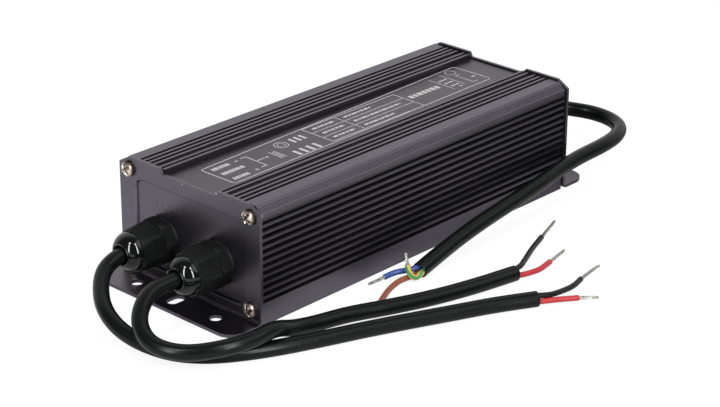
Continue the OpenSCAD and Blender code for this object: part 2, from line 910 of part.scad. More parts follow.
// A bare end: from just past the wire's last point to its own tip
module tinned(route, tip) {
    from = route[len(route) - 1];
    rod(from + tin_gap * unit(tip - from), tip, tinned_d / 2);
}

module left_tinned_ends() {
    color("silver") {
        tinned(left_black_route, left_tips[0]);
        tinned(left_red_route, left_tips[1]);
    }
}

module right_tinned_ends() {
    color("silver") {
        tinned(right_black_route, right_tips[0]);
        tinned(right_red_route, right_tips[1]);
    }
}

module mains_tinned_ends() {
    color("silver") {
        tinned(mains_blue_route, mains_tips[0]);
        tinned(mains_brown_route, mains_tips[1]);
        tinned(mains_earth_route, mains_tips[2]);
    }
}

// Pins: a part's pins are listed from its own middle
function pair_x(pitch) = [[-pitch / 2, 0], [pitch / 2, 0]];
function pair_y(pitch) = [[0, -pitch / 2], [0, pitch / 2]];
fuse_pins = pair_y(fuse_pitch);
varistor_pins = pair_y(varistor_pitch);
x_cap_pins = pair_y(x_cap_pitch);
choke_pins = [for (x = [-1, 1]) for (y = [-1, 1]) [x * choke_pitch / 2, y * (choke_d / 2 - 1)]];
bridge_pins = [for (i = [-1.5, -0.5, 0.5, 1.5]) [0, i * bridge_pitch]];
bulk_pins = pair_x(bulk_pitch);
y_cap_pins = pair_x(y_cap_pitch);
out_cap_pins = pair_x(out_cap_pitch);
out_choke_pins = pair_x(out_choke_pitch);
bobbin_pins = [for (x = [-1, 1]) for (y = [-1, 0, 1])
    [x * (bobbin_len / 2 - 1), y * bobbin_pitch]];
function dip_pins(count) = [for (i = [0:count / 2 - 1]) for (s = [-1, 1])
    [(i - (count / 2 - 1) / 2) * chip_pitch, s * chip_row / 2]];
case_pins = [for (i = [-1, 0, 1]) [i * case_lead_pitch, case_back_y + case_t / 2]];
output_tail_ys = [for (y = output_ys) for (s = [-1, 1]) y + s * output_tail_gap / 2];
mains_tail_ys = [-mains_tail_gap, 0, mains_tail_gap];

// Puts children at each pin of the list, moved to the part's place
module at_pins(place, pins) {
    for (p = pins) translate([place[0] + p[0], place[1] + p[1], 0]) children();
}

module at_all_pins() {
    at_pins(fuse_at, fuse_pins) children();
    at_pins(varistor_at, varistor_pins) children();
    at_pins(x_cap_at, x_cap_pins) children();
    at_pins(choke_at, choke_pins) children();
    at_pins(bridge_at, bridge_pins) children();
    at_pins(bulk_at, bulk_pins) children();
    at_pins(y_cap_at, y_cap_pins) children();
    at_pins([switch_x, 0], case_pins) children();
    at_pins([rectifier_x, 0], case_pins) children();
    at_pins(transformer_at, bobbin_pins) children();
    at_pins(chip_at, dip_pins(8)) children();
    at_pins(opto_at, dip_pins(4)) children();
    for (c = out_cap_at) at_pins(c, out_cap_pins) children();
    at_pins(out_choke_at, out_choke_pins) children();
    for (y = output_tail_ys) translate([-tail_x, y, 0]) children();
    for (y = mains_tail_ys) translate([tail_x, y, 0]) children();
}

// Round pins from below the board up to a height
module pins_up(place, pins, top) {
    at_pins(place, pins)
        translate([0, 0, board_z - pin_out]) cylinder(h = top - board_z + pin_out, r = pin_r, $fn = 16);
}

module circuit_board() {
    color("darkgreen") difference() {
        translate([-board_x, -board_half_w, board_z]) cube([2 * board_x, 2 * board_half_w, board_t]);
        at_all_pins()
            translate([0, 0, board_z - over]) cylinder(h = board_t + 2 * over, r = tail_r + fit_gap);
    }
}

module potting_bed() {
    bed_top = board_z - drop_gap;
    color([0.3, 0.3, 0.32]) difference() {
        translate([-board_x, -bed_half_w, floor_t + fit_gap])
            cube([2 * board_x, 2 * bed_half_w, bed_top - floor_t - fit_gap]);
        at_all_pins()
            translate([0, 0, board_z - pin_out - drop_gap]) cylinder(h = pin_out + over, r = solder_r);
    }
}

module fuse() {
    color("saddlebrown") translate([fuse_at[0], fuse_at[1], seat_z]) cylinder(h = fuse_h, d = fuse_d);
    color("silver") pins_up(fuse_at, fuse_pins, seat_z + fit_gap);
}

module varistor() {
    z = seat_z + varistor_d / 2 + 1;
    color("mediumblue") translate([varistor_at[0] - varistor_t / 2, varistor_at[1], z])
        rotate([0, 90, 0]) cylinder(h = varistor_t, d = varistor_d);
    color("silver") pins_up(varistor_at, varistor_pins, z);
}

// A box with its own size that stands on the board
module standing_box(place, size) {
    translate([place[0] - size[0] / 2, place[1] - size[1] / 2, seat_z]) cube(size);
}

module x_capacitor() {
    color("gold") standing_box(x_cap_at, [x_cap_l, x_cap_w, x_cap_h]);
    color("silver") pins_up(x_cap_at, x_cap_pins, seat_z + fit_gap);
}

module choke_ring(outer, inner, h) {
    difference() {
        cylinder(h = h, d = outer, center = true);
        cylinder(h = h + over, d = inner, center = true);
    }
}

module at_choke() {
    translate([choke_at[0], choke_at[1], seat_z + choke_lift + choke_h / 2]) children();
}

module line_choke_core() {
    color("darkolivegreen") at_choke() choke_ring(choke_d, choke_hole_d, choke_h);
}

module line_choke_windings() {
    reach = choke_d;
    color("peru") at_choke() for (a = [0, 180]) rotate([0, 0, a]) intersection() {
        difference() {
            choke_ring(choke_d + 2 * winding_t, choke_hole_d - 2 * winding_t, choke_h + 2 * winding_t);
            choke_ring(choke_d + 2 * fit_gap, choke_hole_d - 2 * fit_gap, choke_h + 2 * fit_gap);
        }
        rotate([0, 0, 90 - choke_sweep / 2])
            rotate_extrude(angle = choke_sweep) translate([0.5, -choke_h]) square([reach, 2 * choke_h]);
    }
    color("peru") pins_up(choke_at, choke_pins, seat_z + choke_lift - fit_gap);
}

module bridge_rectifier() {
    color("black") standing_box(bridge_at, [bridge_t, bridge_w, bridge_h]);
    color("silver") pins_up(bridge_at, bridge_pins, seat_z + fit_gap);
}

// A capacitor can with a rounded shoulder and a groove near its foot
module can(place, d, h) {
    translate([place[0], place[1], seat_z]) rotate_extrude() difference() {
        union() {
            square([d / 2, h - case_r]);
            square([d / 2 - case_r, h]);
            translate([d / 2 - case_r, h - case_r]) circle(case_r);
        }
        translate([-d, 0]) square([d, 2 * h]);
        translate([d / 2 + 0.3, 2.5]) circle(case_r);
    }
}

module bulk_capacitor() {
    color("midnightblue") can(bulk_at, bulk_d, bulk_h);
    color("silver") pins_up(bulk_at, bulk_pins, seat_z + fit_gap);
}

module output_capacitors() {
    for (c = out_cap_at) {
        color("darkslateblue") can(c, out_cap_d, out_cap_h);
        color("silver") pins_up(c, out_cap_pins, seat_z + fit_gap);
    }
}

module y_capacitor() {
    z = seat_z + y_cap_d / 2 + 1;
    color("steelblue") translate([y_cap_at[0], y_cap_at[1] - y_cap_t / 2, z])
        rotate([-90, 0, 0]) cylinder(h = y_cap_t, d = y_cap_d);
    color("silver") pins_up(y_cap_at, y_cap_pins, z);
}

module chip(place, size, count) {
    color("black") translate([place[0] - size[0] / 2, place[1] - size[1] / 2, seat_z + chip_lift])
        cube(size);
    color("silver") for (p = dip_pins(count)) {
        translate([place[0] + p[0], place[1] + p[1], 0]) {
            translate([-chip_leg / 2, -chip_leg / 2, board_z - pin_out])
                cube([chip_leg, chip_leg, seat_z + chip_lift + size[2] / 2 - board_z + pin_out]);
            translate([-chip_leg / 2, p[1] > 0 ? -chip_row / 2 + size[1] / 2 - fit_gap : -chip_leg / 2,
                seat_z + chip_lift + size[2] / 2 - chip_leg])
                cube([chip_leg, (chip_row - size[1]) / 2 + chip_leg / 2 + fit_gap, chip_leg]);
        }
    }
}

module control_chip() {
    chip(chip_at, [chip_l, chip_w, chip_h], 8);
}

module optocoupler() {
    chip(opto_at, [opto_l, chip_w, opto_h], 4);
}

// A transistor case that stands against its spreader
module power_case(x) {
    color("black") translate([x - case_w / 2, case_back_y, case_z])
        cube([case_w, case_t, case_h - case_tab_h]);
    color("silver") difference() {
        translate([x - case_w / 2, case_back_y, case_z]) cube([case_w, case_tab_t, case_h]);
        translate([x, case_back_y - over, case_hole_z])
            rotate([-90, 0, 0]) cylinder(h = case_t, r = case_hole_r);
    }
    color("silver") for (p = case_pins)
        translate([x + p[0] - case_lead / 2, p[1] - case_lead / 2, board_z - pin_out])
            cube([case_lead, case_lead, case_z - board_z + pin_out + fit_gap]);
}

module switching_transistor() {
    power_case(switch_x);
}

module output_rectifier() {
    power_case(rectifier_x);
}

module heat_spreaders() {
    color("lightgray") for (x = [switch_x, rectifier_x]) difference() {
        translate([x - spreader_len / 2, spreader_y, spreader_low])
            cube([spreader_len, spreader_t, spreader_high - spreader_low]);
        translate([x, spreader_y - over, case_hole_z])
            rotate([-90, 0, 0]) cylinder(h = spreader_t + 2 * over, r = case_screw_r + fit_gap);
    }
}

module insulating_pads() {
    y = spreader_y + spreader_t + fit_gap;
    color("lightsteelblue") for (x = [switch_x, rectifier_x]) difference() {
        translate([x - case_w / 2 - 1, y, case_z - 1]) cube([case_w + 2, pad_t, case_h + 1]);
        translate([x, y - over, case_hole_z])
            rotate([-90, 0, 0]) cylinder(h = pad_t + 2 * over, r = case_screw_r + fit_gap);
    }
}

module spreader_screws() {
    front = case_back_y + case_tab_t + fit_gap;
    color("silver") for (x = [switch_x, rectifier_x]) translate([x, 0, case_hole_z]) {
        translate([0, spreader_y, 0])
            rotate([-90, 0, 0]) cylinder(h = front - spreader_y + fit_gap, r = case_screw_r);
        translate([0, front, 0])
            rotate([-90, 0, 0]) cylinder(h = case_screw_head_h, r = case_screw_head_r);
    }
}

// Transformer, with its middle leg along X
module at_transformer() {
    translate([transformer_at[0], transformer_at[1], core_mid_z]) children();
}

module core_half() {
    half_len = core_len / 2 - fit_gap / 2;
    window_w = (core_w - core_leg) / 2 - core_side;
    translate([fit_gap / 2, 0, 0]) difference() {
        translate([0, -core_w / 2, -core_t / 2]) cube([half_len, core_w, core_t]);
        for (s = [-1, 1])
            translate([-over, s * (core_leg / 2 + window_w / 2) - window_w / 2, -core_t])
                cube([half_len - core_back + over, window_w, 2 * core_t]);
    }
}

module transformer_core() {
    color([0.2, 0.2, 0.2]) at_transformer() for (s = [0, 1]) mirror([s, 0, 0]) core_half();
}

module transformer_bobbin() {
    hole_y = core_leg + 2 * bobbin_gap;
    hole_z = core_t + 2 * bobbin_gap;
    color("khaki") {
        at_transformer() difference() {
            union() {
                cube([bobbin_len, hole_y + 2 * bobbin_wall, hole_z + 2 * bobbin_wall], center = true);
                for (s = [-1, 1])
                    translate([s * (bobbin_len - 1) / 2, 0, 0])
                        cube([1, bobbin_w, bobbin_w], center = true);
            }
            cube([core_len, hole_y, hole_z], center = true);
        }
        for (s = [-1, 1])
            translate([
                transformer_at[0] + s * (bobbin_len - rail_w) / 2 - rail_w / 2,
                transformer_at[1] - bobbin_w / 2, seat_z
            ])
                cube([rail_w, bobbin_w, core_mid_z - bobbin_w / 2 + 0.5 - seat_z]);
    }
    color("silver") pins_up(transformer_at, bobbin_pins, seat_z + fit_gap);
}

module transformer_winding() {
    length = bobbin_len - 2 - 2 * fit_gap;
    inner_y = core_leg + 2 * (bobbin_gap + bobbin_wall + fit_gap);
    inner_z = core_t + 2 * (bobbin_gap + bobbin_wall + fit_gap);
    color("goldenrod") at_transformer() along_x(-length / 2, length / 2) difference() {
        round_rect(winding_w, winding_w, 3);
        square([inner_y, inner_z], center = true);
    }
}

// Output choke: a drum core with its winding
module output_choke_core() {
    color([0.25, 0.25, 0.25]) translate([out_choke_at[0], out_choke_at[1], seat_z]) {
        cylinder(h = out_choke_h, d = out_choke_rod);
        for (z = [0, out_choke_h - out_choke_rim]) translate([0, 0, z])
            cylinder(h = out_choke_rim, d = out_choke_d);
    }
    color("silver") pins_up(out_choke_at, out_choke_pins, seat_z + fit_gap);
}

module output_choke_winding() {
    h = out_choke_h - 2 * (out_choke_rim + fit_gap);
    color("peru") translate([out_choke_at[0], out_choke_at[1], seat_z + out_choke_h / 2])
        choke_ring(out_choke_d - 1, out_choke_rod + 2 * fit_gap, h);
}

// A wire tail from the cable end down into the board, towards +X
module tail(y, end) {
    turn_x = end * tail_x;
    translate([0, y, 0]) {
        rod([end * tail_start, 0, gland_z], [turn_x + end * tail_bend, 0, gland_z], tail_r);
        translate([turn_x + end * tail_bend, 0, gland_z - tail_bend]) rotate([90, 0, 0])
            rotate([0, 0, end > 0 ? 90 : 0]) rotate_extrude(angle = 90)
                translate([tail_bend, 0]) circle(tail_r);
        rod([turn_x, 0, board_z - pin_out], [turn_x, 0, gland_z - tail_bend], tail_r);
    }
}

module output_tails() {
    color("red") for (y = output_tail_ys) tail(y, -1);
}

module mains_tails() {
    color("sienna") for (y = mains_tail_ys) tail(y, 1);
}

housing();
front_end_plate();
rear_end_plate();
front_gasket();
rear_gasket();
front_screws();
rear_screws();
left_gland_body();
right_gland_body();
mains_gland_body();
left_gland_bush();
right_gland_bush();
mains_gland_bush();
left_gland_cap();
right_gland_cap();
mains_gland_cap();
gland_washers();
gland_locknuts();
left_output_cable();
right_output_cable();
mains_cable();
left_black_wire();
left_red_wire();
right_black_wire();
right_red_wire();
mains_blue_wire();
mains_brown_wire();
mains_earth_wire();
left_tinned_ends();
right_tinned_ends();
mains_tinned_ends();
circuit_board();
potting_bed();
fuse();
varistor();
x_capacitor();
line_choke_core();
line_choke_windings();
bridge_rectifier();
bulk_capacitor();
y_capacitor();
switching_transistor();
output_rectifier();
heat_spreaders();
insulating_pads();
spreader_screws();
transformer_core();
transformer_bobbin();
transformer_winding();
control_chip();
optocoupler();
output_capacitors();
output_choke_core();
output_choke_winding();
output_tails();
mains_tails();
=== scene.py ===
import math

import bpy
import numpy as np
from mathutils import Matrix, Vector


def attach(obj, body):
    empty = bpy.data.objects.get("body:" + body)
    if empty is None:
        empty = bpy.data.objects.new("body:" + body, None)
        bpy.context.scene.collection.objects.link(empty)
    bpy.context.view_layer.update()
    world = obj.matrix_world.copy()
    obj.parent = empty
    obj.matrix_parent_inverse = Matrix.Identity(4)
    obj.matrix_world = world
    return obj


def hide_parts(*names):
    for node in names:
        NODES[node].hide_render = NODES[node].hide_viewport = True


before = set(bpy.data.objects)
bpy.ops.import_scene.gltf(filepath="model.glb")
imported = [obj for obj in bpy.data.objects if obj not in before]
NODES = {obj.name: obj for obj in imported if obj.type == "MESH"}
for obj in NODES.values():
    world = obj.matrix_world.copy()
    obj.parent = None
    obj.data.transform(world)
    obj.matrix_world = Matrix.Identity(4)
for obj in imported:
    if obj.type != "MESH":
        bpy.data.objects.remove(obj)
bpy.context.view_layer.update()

# Sizes that the looks share with the part's source, in metres. The groove is a share of its pitch
PLATE_X = 0.0805
TUBE_HALF_W = 0.0334
LABEL_Z = 0.0406
CHANNEL_HALF_W = 0.018
GLAND_Z = 0.0173
GLAND_Y = 0.0135
SCREW_Y = 0.0293
SCREW_LOW = 0.0052
SCREW_HIGH = 0.0385
OUTPUT_R = 0.00275
MAINS_R = 0.00285
OUTPUT_WIRE_R = 0.00098
MAINS_WIRE_R = 0.001
TINNED_R = 0.00045
OUTPUT_WALL = 0.00065
MAINS_WALL = 0.00045
OUTPUT_GATHER = 0.001
MAINS_GATHER = 0.0012
DOME_X = 0.0944
FIN_LOW = 0.00805
FIN_HIGH = 0.0366
FIN_PITCH = 0.002575
FIN_GROOVE = 0.56
SIDE_BAND = 0.0373
PANEL_HALF_W = 0.0265
PANEL_HALF_H = 0.01525
PANEL_Z = 0.02075
PANEL_R = 0.004
FOLD_Z = 0.004
BARS_FROM = 0.0035
BARS_TO = 0.018
BARS_Z = 0.0294
BAR_PITCH = 0.0029
HEAD_R = 0.0028
RECESS_REACH = 0.0019
RECESS_HALF_W = 0.00048
HEAD_H = 0.0018
HEAD_DROP = 0.00085
RECESS_DEPTH = 0.0012
MOUTH_X = 0.0953
CAP_START = 0.0049
CAP_LIP = 0.0139
CAP_DOME_R = 0.0051
CAP_DOME_MID = 0.0018
CAP_FLATS = 0.015
KNURL_AT = 0.0073
KNURL_PITCH = 0.00101
KNURL_DEPTH = 0.00022
PRINT_START = 0.0804
MM = 0.001
# How many straight lines each bare end is bent from
STRAND_STEPS = 8
# Knocks that bare the metal
PLATE_KNOCKS = [(-0.0804, 0.0025, 0.0405), (-0.0804, -0.0137, 0.0425), (-0.0805, -0.0139, 0.0421)]
TUBE_KNOCKS = [(-0.0788, -0.0334, 0.0398), (-0.0787, -0.0334, 0.0393)]

# The points that the cables and their wires follow, the same as in the part's source. They are in
# millimetres, and so are the outlines of screws and glands and the print's strokes
CABLES = {
    "left_output_cable": [
        (-72.5, 13.5, 17.3), (-99.5, 13.5, 17.3), (-107, 12.5, 15.2), (-114, 6.5, 12.3),
        (-119.5, -2, 9.5), (-121.5, -11.5, 6.7), (-120, -21.5, 4.5), (-116, -31, 3.2),
        (-109.5, -39, 2.8), (-101, -45.5, 2.8), (-90, -51.5, 2.8), (-76, -57.5, 2.8), (-62, -63, 2.8),
        (-48, -69, 2.8), (-33.5, -75.5, 2.8), (-19, -82, 2.8), (-5, -89.5, 2.8),
    ],
    "right_output_cable": [
        (-72.5, -13.5, 17.3), (-99.5, -13.5, 17.3), (-110.5, -13.5, 16.4), (-119.5, -18.5, 12),
        (-123, -27.5, 8.2), (-119.5, -37.5, 7), (-111, -45.5, 7.8), (-100, -50, 8.75),
        (-90, -49.8, 8.75), (-80.5, -48.4, 5.2), (-71, -48.4, 3.1), (-58, -51.5, 2.8), (-43, -58, 2.8),
        (-28.5, -63.5, 2.8), (-12, -68, 2.8), (5.5, -71.5, 2.8),
    ],
    "mains_cable": [
        (72.5, 0, 17.3), (99.5, 0, 17.3), (109, -1, 16.7), (116, -7, 15), (120.5, -15, 14.3),
        (121, -24, 13.8), (117, -31.5, 13.6), (109, -36, 13.5), (98, -38, 13.5), (84, -38.3, 13.2),
        (70, -39.3, 12.6), (56, -41.2, 11.7), (41, -42.4, 10.5), (26.5, -43, 9), (12, -43.8, 7.3),
        (-2, -45.1, 5.4), (-16.5, -46.6, 3),
    ],
}
WIRES = {
    "left_black_wire": [
        (-4.5, -89, 3.6), (0, -90.8, 3), (6.2, -91, 2.2), (13.5, -90.4, 1.5), (20, -88.6, 1.2),
    ],
    "left_red_wire": [(-4.6, -90.3, 1.9), (1.4, -93.2, 1.5), (8, -97, 1.1)],
    "right_black_wire": [
        (6, -70.9, 3.8), (10, -70, 3.6), (15, -67.6, 3), (25, -62.8, 2.4), (37, -57.7, 1.6),
    ],
    "right_red_wire": [(5.9, -72.4, 2), (10, -73.5, 1.8), (15.5, -73.9, 1.5), (23.5, -72.3, 1.2)],
    "mains_blue_wire": [
        (-17.7, -45.5, 3.9), (-19.8, -43.7, 3.3), (-21.7, -42, 3), (-24.5, -40.8, 2.6),
        (-27.5, -40.3, 2.2),
    ],
    "mains_brown_wire": [
        (-17.3, -46, 1.8), (-20.5, -45.5, 1.6), (-25, -45.1, 1.5), (-31, -46.3, 1.2),
        (-36.5, -48.6, 1.1), (-42, -51.4, 1),
    ],
    "mains_earth_wire": [
        (-17.3, -48, 2.5), (-19.1, -48, 1.8), (-20.7, -47.6, 2.2), (-21.7, -46.9, 3.8),
        (-21.9, -46.3, 5.5), (-21.9, -46, 7),
    ],
}
BARE_TIPS = {
    "left_black_wire": (33, -86.7, 1),
    "left_red_wire": (13.3, -101.4, 0.8),
    "right_black_wire": (52, -51.8, 1),
    "right_red_wire": (35, -69.4, 0.8),
    "mains_blue_wire": (-34, -39.2, 1.6),
    "mains_brown_wire": (-47, -52.4, 0.8),
    "mains_earth_wire": (-21.5, -44.6, 10.6),
}
# A long wire, kept out of its cable's list of wires
LONG_WIRES = ["right_black_wire"]


def in_metres(point):
    """A point in metres, from millimetres, with nothing left over from the product."""
    return tuple(round(v * MM, 6) for v in point)


def new_object(name, data):
    thing = bpy.data.objects.new(name, data)
    bpy.context.scene.collection.objects.link(thing)
    return thing


def bearing(azimuth, elevation):
    """The way from the part to something round it. Angles are in radians."""
    level = math.cos(elevation)
    return Vector((math.sin(azimuth) * level, -math.cos(azimuth) * level, math.sin(elevation)))


def set_up_camera():
    """The camera of the photograph."""
    azimuth, elevation, roll = (math.radians(a) for a in (-47.142, 23.92, 0.386))
    back = bearing(azimuth, elevation)
    right = Vector((math.cos(azimuth), math.sin(azimuth), 0))
    up = back.cross(right)
    across = right * math.cos(roll) + up * math.sin(roll)
    upright = up * math.cos(roll) - right * math.sin(roll)
    lens = bpy.data.cameras.new("camera")
    lens.lens = 108.28
    lens.sensor_width = 36
    lens.sensor_fit = "HORIZONTAL"
    lens.shift_x = -0.0028
    lens.shift_y = 0.0069
    lens.clip_start = 0.01
    lens.clip_end = 20
    camera = new_object("camera", lens)
    turn = Matrix((across, upright, back)).transposed().to_4x4()
    camera.matrix_world = Matrix.Translation((-0.5233, -0.4898, 0.3248)) @ turn
    bpy.context.scene.camera = camera


# Node trees: one class for a socket's value and one for the tree that it is in
def operator(operation, swapped=False):
    def work(self, other):
        return self.net.math(operation, *((other, self) if swapped else (self, other)))
    return work


class Value:
    def __init__(self, net, socket):
        self.net = net
        self.socket = socket

    def __abs__(self):
        return self.net.math("ABSOLUTE", self)

    __add__ = __radd__ = operator("ADD")
    __mul__ = __rmul__ = operator("MULTIPLY")
    __sub__ = operator("SUBTRACT")
    __rsub__ = operator("SUBTRACT", True)
    __truediv__ = operator("DIVIDE")
    __rtruediv__ = operator("DIVIDE", True)
    __pow__ = operator("POWER")
    __gt__ = operator("GREATER_THAN")
    __lt__ = operator("LESS_THAN")


class Net:
    def __init__(self, tree):
        self.tree = tree

    def add(self, kind, settings=None, sockets=None, out=0):
        node = self.tree.nodes.new(kind)
        for name, value in (settings or {}).items():
            setattr(node, name, value)
        for key, value in (sockets or {}).items():
            self.feed(node.inputs[key], value)
        return Value(self, node.outputs[out])

    def feed(self, socket, value):
        if isinstance(value, Value):
            self.tree.links.new(value.socket, socket)
        else:
            socket.default_value = value

    def math(self, operation, a, b=0.0):
        return self.add("ShaderNodeMath", {"operation": operation}, {0: a, 1: b})

    def vector(self, operation, a, b=(0, 0, 0), out=0):
        return self.add("ShaderNodeVectorMath", {"operation": operation}, {0: a, 1: b}, out)

    def scaled(self, vector, amount):
        return self.add("ShaderNodeVectorMath", {"operation": "SCALE"}, {0: vector, "Scale": amount})

    def stored(self, kind, name):
        return self.add("GeometryNodeInputNamedAttribute", {"data_type": kind}, {"Name": name})

    def ease(self, value, low, high, at_low=0.0, at_high=1.0):
        settings = {"interpolation_type": "SMOOTHSTEP"}
        sockets = {0: value, 1: low, 2: high, 3: at_low, 4: at_high}
        return self.add("ShaderNodeMapRange", settings, sockets)

    def colour_mix(self, share, a, b):
        return self.add("ShaderNodeMix", {"data_type": "RGBA"}, {0: share, 6: a, 7: b}, 2)

    def parts(self, vector):
        first = self.add("ShaderNodeSeparateXYZ", {}, {0: vector})
        return [Value(self, socket) for socket in first.socket.node.outputs]


def linear(hex_colour):
    """The shader's colour for a colour read off the photograph."""
    values = [int(hex_colour[i:i + 2], 16) / 255 for i in (1, 3, 5)]
    values = [v / 12.92 if v <= 0.04045 else ((v + 0.055) / 1.055) ** 2.4 for v in values]
    return (*values, 1.0)


def grey(level):
    return (level, level, level, 1)


class Finish(Net):
    """A material whose constants sit on its shader, and whose patterns are nodes."""

    def __init__(self, name, colour, roughness, metallic=0.0, **constants):
        self.name = name
        self.material = bpy.data.materials.new(name)
        self.material.use_nodes = True
        super().__init__(self.material.node_tree)
        self.shader = self.tree.nodes["Principled BSDF"]
        self.colour = linear(colour)
        self.set("Base Color", self.colour)
        self.set("Roughness", roughness)
        self.set("Metallic", metallic)
        for key, value in constants.items():
            self.set(key.replace("_", " "), value)
        self.place = self.add("ShaderNodeTexCoord", out=3)
        self.uv = Value(self, self.place.socket.node.outputs["UV"])

    def set(self, socket, value):
        self.feed(self.shader.inputs[socket], value)

    def stretched(self, scale):
        return self.vector("MULTIPLY", self.place, scale)

    def noise(self, scale, detail=3.0, rough=0.55, where=None):
        sockets = {"Vector": where or self.place, "Scale": scale, "Detail": detail, "Roughness": rough}
        return self.add("ShaderNodeTexNoise", {}, sockets)

    def tint(self, share, dark, light):
        """Base colour between two shades of the finish's own colour."""
        shades = [(*(c * by for c in self.colour[:3]), 1.0) for by in (dark, light)]
        mixed = self.colour_mix(share, *shades)
        self.set("Base Color", mixed)
        return mixed

    def relief(self, height, depth, strength=1.0, normal=None):
        sockets = {"Height": height, "Distance": depth, "Strength": strength}
        if normal:
            sockets["Normal"] = normal
        bumped = self.add("ShaderNodeBump", {}, sockets)
        self.set("Normal", bumped)


# Finishes
def nicks(f, places, size):
    """Small knocks where bare metal shows through: 1 at each place, 0 elsewhere."""
    ragged = f.noise(2600)
    shown = None
    for place in places:
        far = f.vector("DISTANCE", f.place, place, out=1)
        spot = f.ease(far + (ragged - 0.5) * size * 1.6, size * 0.6, size, 1.0, 0.0)
        shown = f.math("MAXIMUM", shown, spot) if shown else spot
    return shown


def anodised(name, colour, roughness):
    """Anodised metal: drawn lines along its length, soft clouds and a fine blasted grain."""
    f = Finish(name, colour, roughness, metallic=1.0)
    drawn = f.noise(900, 4.0, where=f.stretched((0.03, 1, 1)))
    clouds = f.noise(38)
    grain = f.noise(5200, 2.0)
    f.shade = f.tint(drawn * 0.35 + clouds * 0.65, 0.8, 1.2)
    f.set("Roughness", roughness - 0.06 + 0.1 * clouds + 0.03 * grain)
    f.relief(grain * 0.6 + drawn * 0.4, 0.00003, 0.5)
    return f


def extruded_tube():
    """The tube: a duller label channel, painted shade on the fin tips' upper parts where they round
    off, a band of painted shade over the uppermost groove, and a knocked corner."""
    f = anodised("anodised_aluminium", "#5b5861", 0.36)
    _, y, z = f.parts(f.place)
    side = abs(y)
    channel = (abs(z - LABEL_Z) < 0.0003) * (side < CHANNEL_HALF_W)
    mixed = f.colour_mix(channel * 0.4, f.shade, linear("#3a373d"))
    step = f.math("FRACT", (z - FIN_LOW) / FIN_PITCH)
    # Painted shade: the fin tips' upper parts and a band over the uppermost groove are mixed towards
    # near black
    fin_tip_painted_shade = f.ease(step, FIN_GROOVE, 1.0) * (z > FIN_LOW) * (z < FIN_HIGH)
    top_band_painted_shade = f.ease(z, SIDE_BAND, SIDE_BAND + 0.0016, 1.0, 0.0) * (z > SIDE_BAND)
    dark = f.math("MAXIMUM", fin_tip_painted_shade, top_band_painted_shade) * (side > TUBE_HALF_W - 0.001)
    mixed = f.colour_mix(dark * 0.68, mixed, linear("#171a1b"))
    mixed = f.colour_mix(nicks(f, TUBE_KNOCKS, 0.00035) * 0.6, mixed, linear("#f2eff2"))
    f.set("Base Color", mixed)
    return f


def panel_rim(f):
    """How far a point lies outside the end plates' pressed panel, a rectangle with round corners."""
    _, y, z = f.parts(f.place)
    a = abs(y) - (PANEL_HALF_W - PANEL_R)
    b = abs(z - PANEL_Z) - (PANEL_HALF_H - PANEL_R)
    outside = (f.math("MAXIMUM", a, 0.0) ** 2.0 + f.math("MAXIMUM", b, 0.0) ** 2.0) ** 0.5
    inside = f.math("MINIMUM", f.math("MAXIMUM", a, b), 0.0)
    return outside + inside - PANEL_R


def end_plate():
    """Anodised sheet: a painted shadow line round the pressed panel, a painted highlight over the
    fold, faint raised bars, a few knocks.
    """
    f = Finish("plate_aluminium", "#5d5a62", 0.34, metallic=1.0)
    x, y, z = f.parts(f.place)
    clouds = f.noise(45)
    grain = f.noise(5200, 2.0)
    mixed = f.tint(clouds, 0.84, 1.16)
    rim = panel_rim(f)
    # The painted shadow line is wider at the top, and at the panel's far side a dull non-metal wall,
    # which paints the same shade, takes its place
    wide = f.ease(z, 0.0335, 0.035, 0.0001, 0.00022)
    line = f.ease(abs(rim) - wide, -0.00004, 0.00006, 1.0, 0.0) * (z > FOLD_Z)
    wall = (y > PANEL_HALF_W - 0.001) * f.ease(z, 0.034, 0.0352, 1.0, 0.0)
    mixed = f.colour_mix(line * (1.0 - wall) * 0.7, mixed, linear("#211f27"))
    wall = wall * (abs(rim) < 0.00012)
    f.set("Metallic", 1.0 - wall)
    # A painted highlight under it, just over the fold
    low = f.ease(abs(rim - 0.00045), 0.00006, 0.0002, 1.0, 0.0) * (z < 0.0056)
    mixed = f.colour_mix(low * (z > FOLD_Z) * 0.5, mixed, linear("#c9c5cf"))
    mixed = f.colour_mix(nicks(f, PLATE_KNOCKS, 0.0003) * 0.55, mixed, linear("#f6f3f6"))
    f.set("Base Color", mixed)
    step = abs(f.math("FRACT", (y - BARS_FROM) / BAR_PITCH) - 0.5)
    bars = f.ease(step, 0.14, 0.2, 1.0, 0.0) * (y > BARS_FROM) * (y < BARS_TO) * (x < 0.0)
    bars = bars * f.ease(abs(z - BARS_Z), 0.0008, 0.001, 1.0, 0.0)
    f.set("Roughness", 0.29 + 0.1 * clouds)
    fine = f.add("ShaderNodeBump", {}, {"Height": grain, "Distance": 0.00003, "Strength": 0.5})
    f.relief(bars, 0.00012, 0.8, fine)
    return f


def moulded(name, colour, roughness, grain_scale=1600, depth=0.00002, mottle=0.12):
    """Moulded plastic or rubber, with a fine spark grain."""
    f = Finish(name, colour, roughness)
    grain = f.noise(grain_scale)
    clouds = f.noise(120)
    f.tint(clouds, 1 - mottle, 1 + mottle)
    f.set("Roughness", roughness - 0.08 + 0.16 * grain)
    f.relief(grain, depth, 0.6)
    return f


def gland_nylon():
    """Moulded nylon: the skirt is matt with a fine grain, and the dome is polished."""
    f = Finish("gland_nylon", "#151616", 0.5, Specular_IOR_Level=0.14, Coat_Roughness=0.07)
    x, _, _ = f.parts(f.place)
    grain = f.noise(2600)
    clouds = f.noise(160)
    rough = f.ease(abs(x), DOME_X - 0.0001, DOME_X + 0.0001, 1.0, 0.0)
    f.tint(rough * clouds, 0.4, 0.5)
    f.set("Roughness", 0.09 + rough * (0.36 + 0.12 * grain))
    f.set("Coat Weight", (1.0 - rough) * 0.5)
    f.relief(grain * rough, 0.000018, 0.7)
    return f


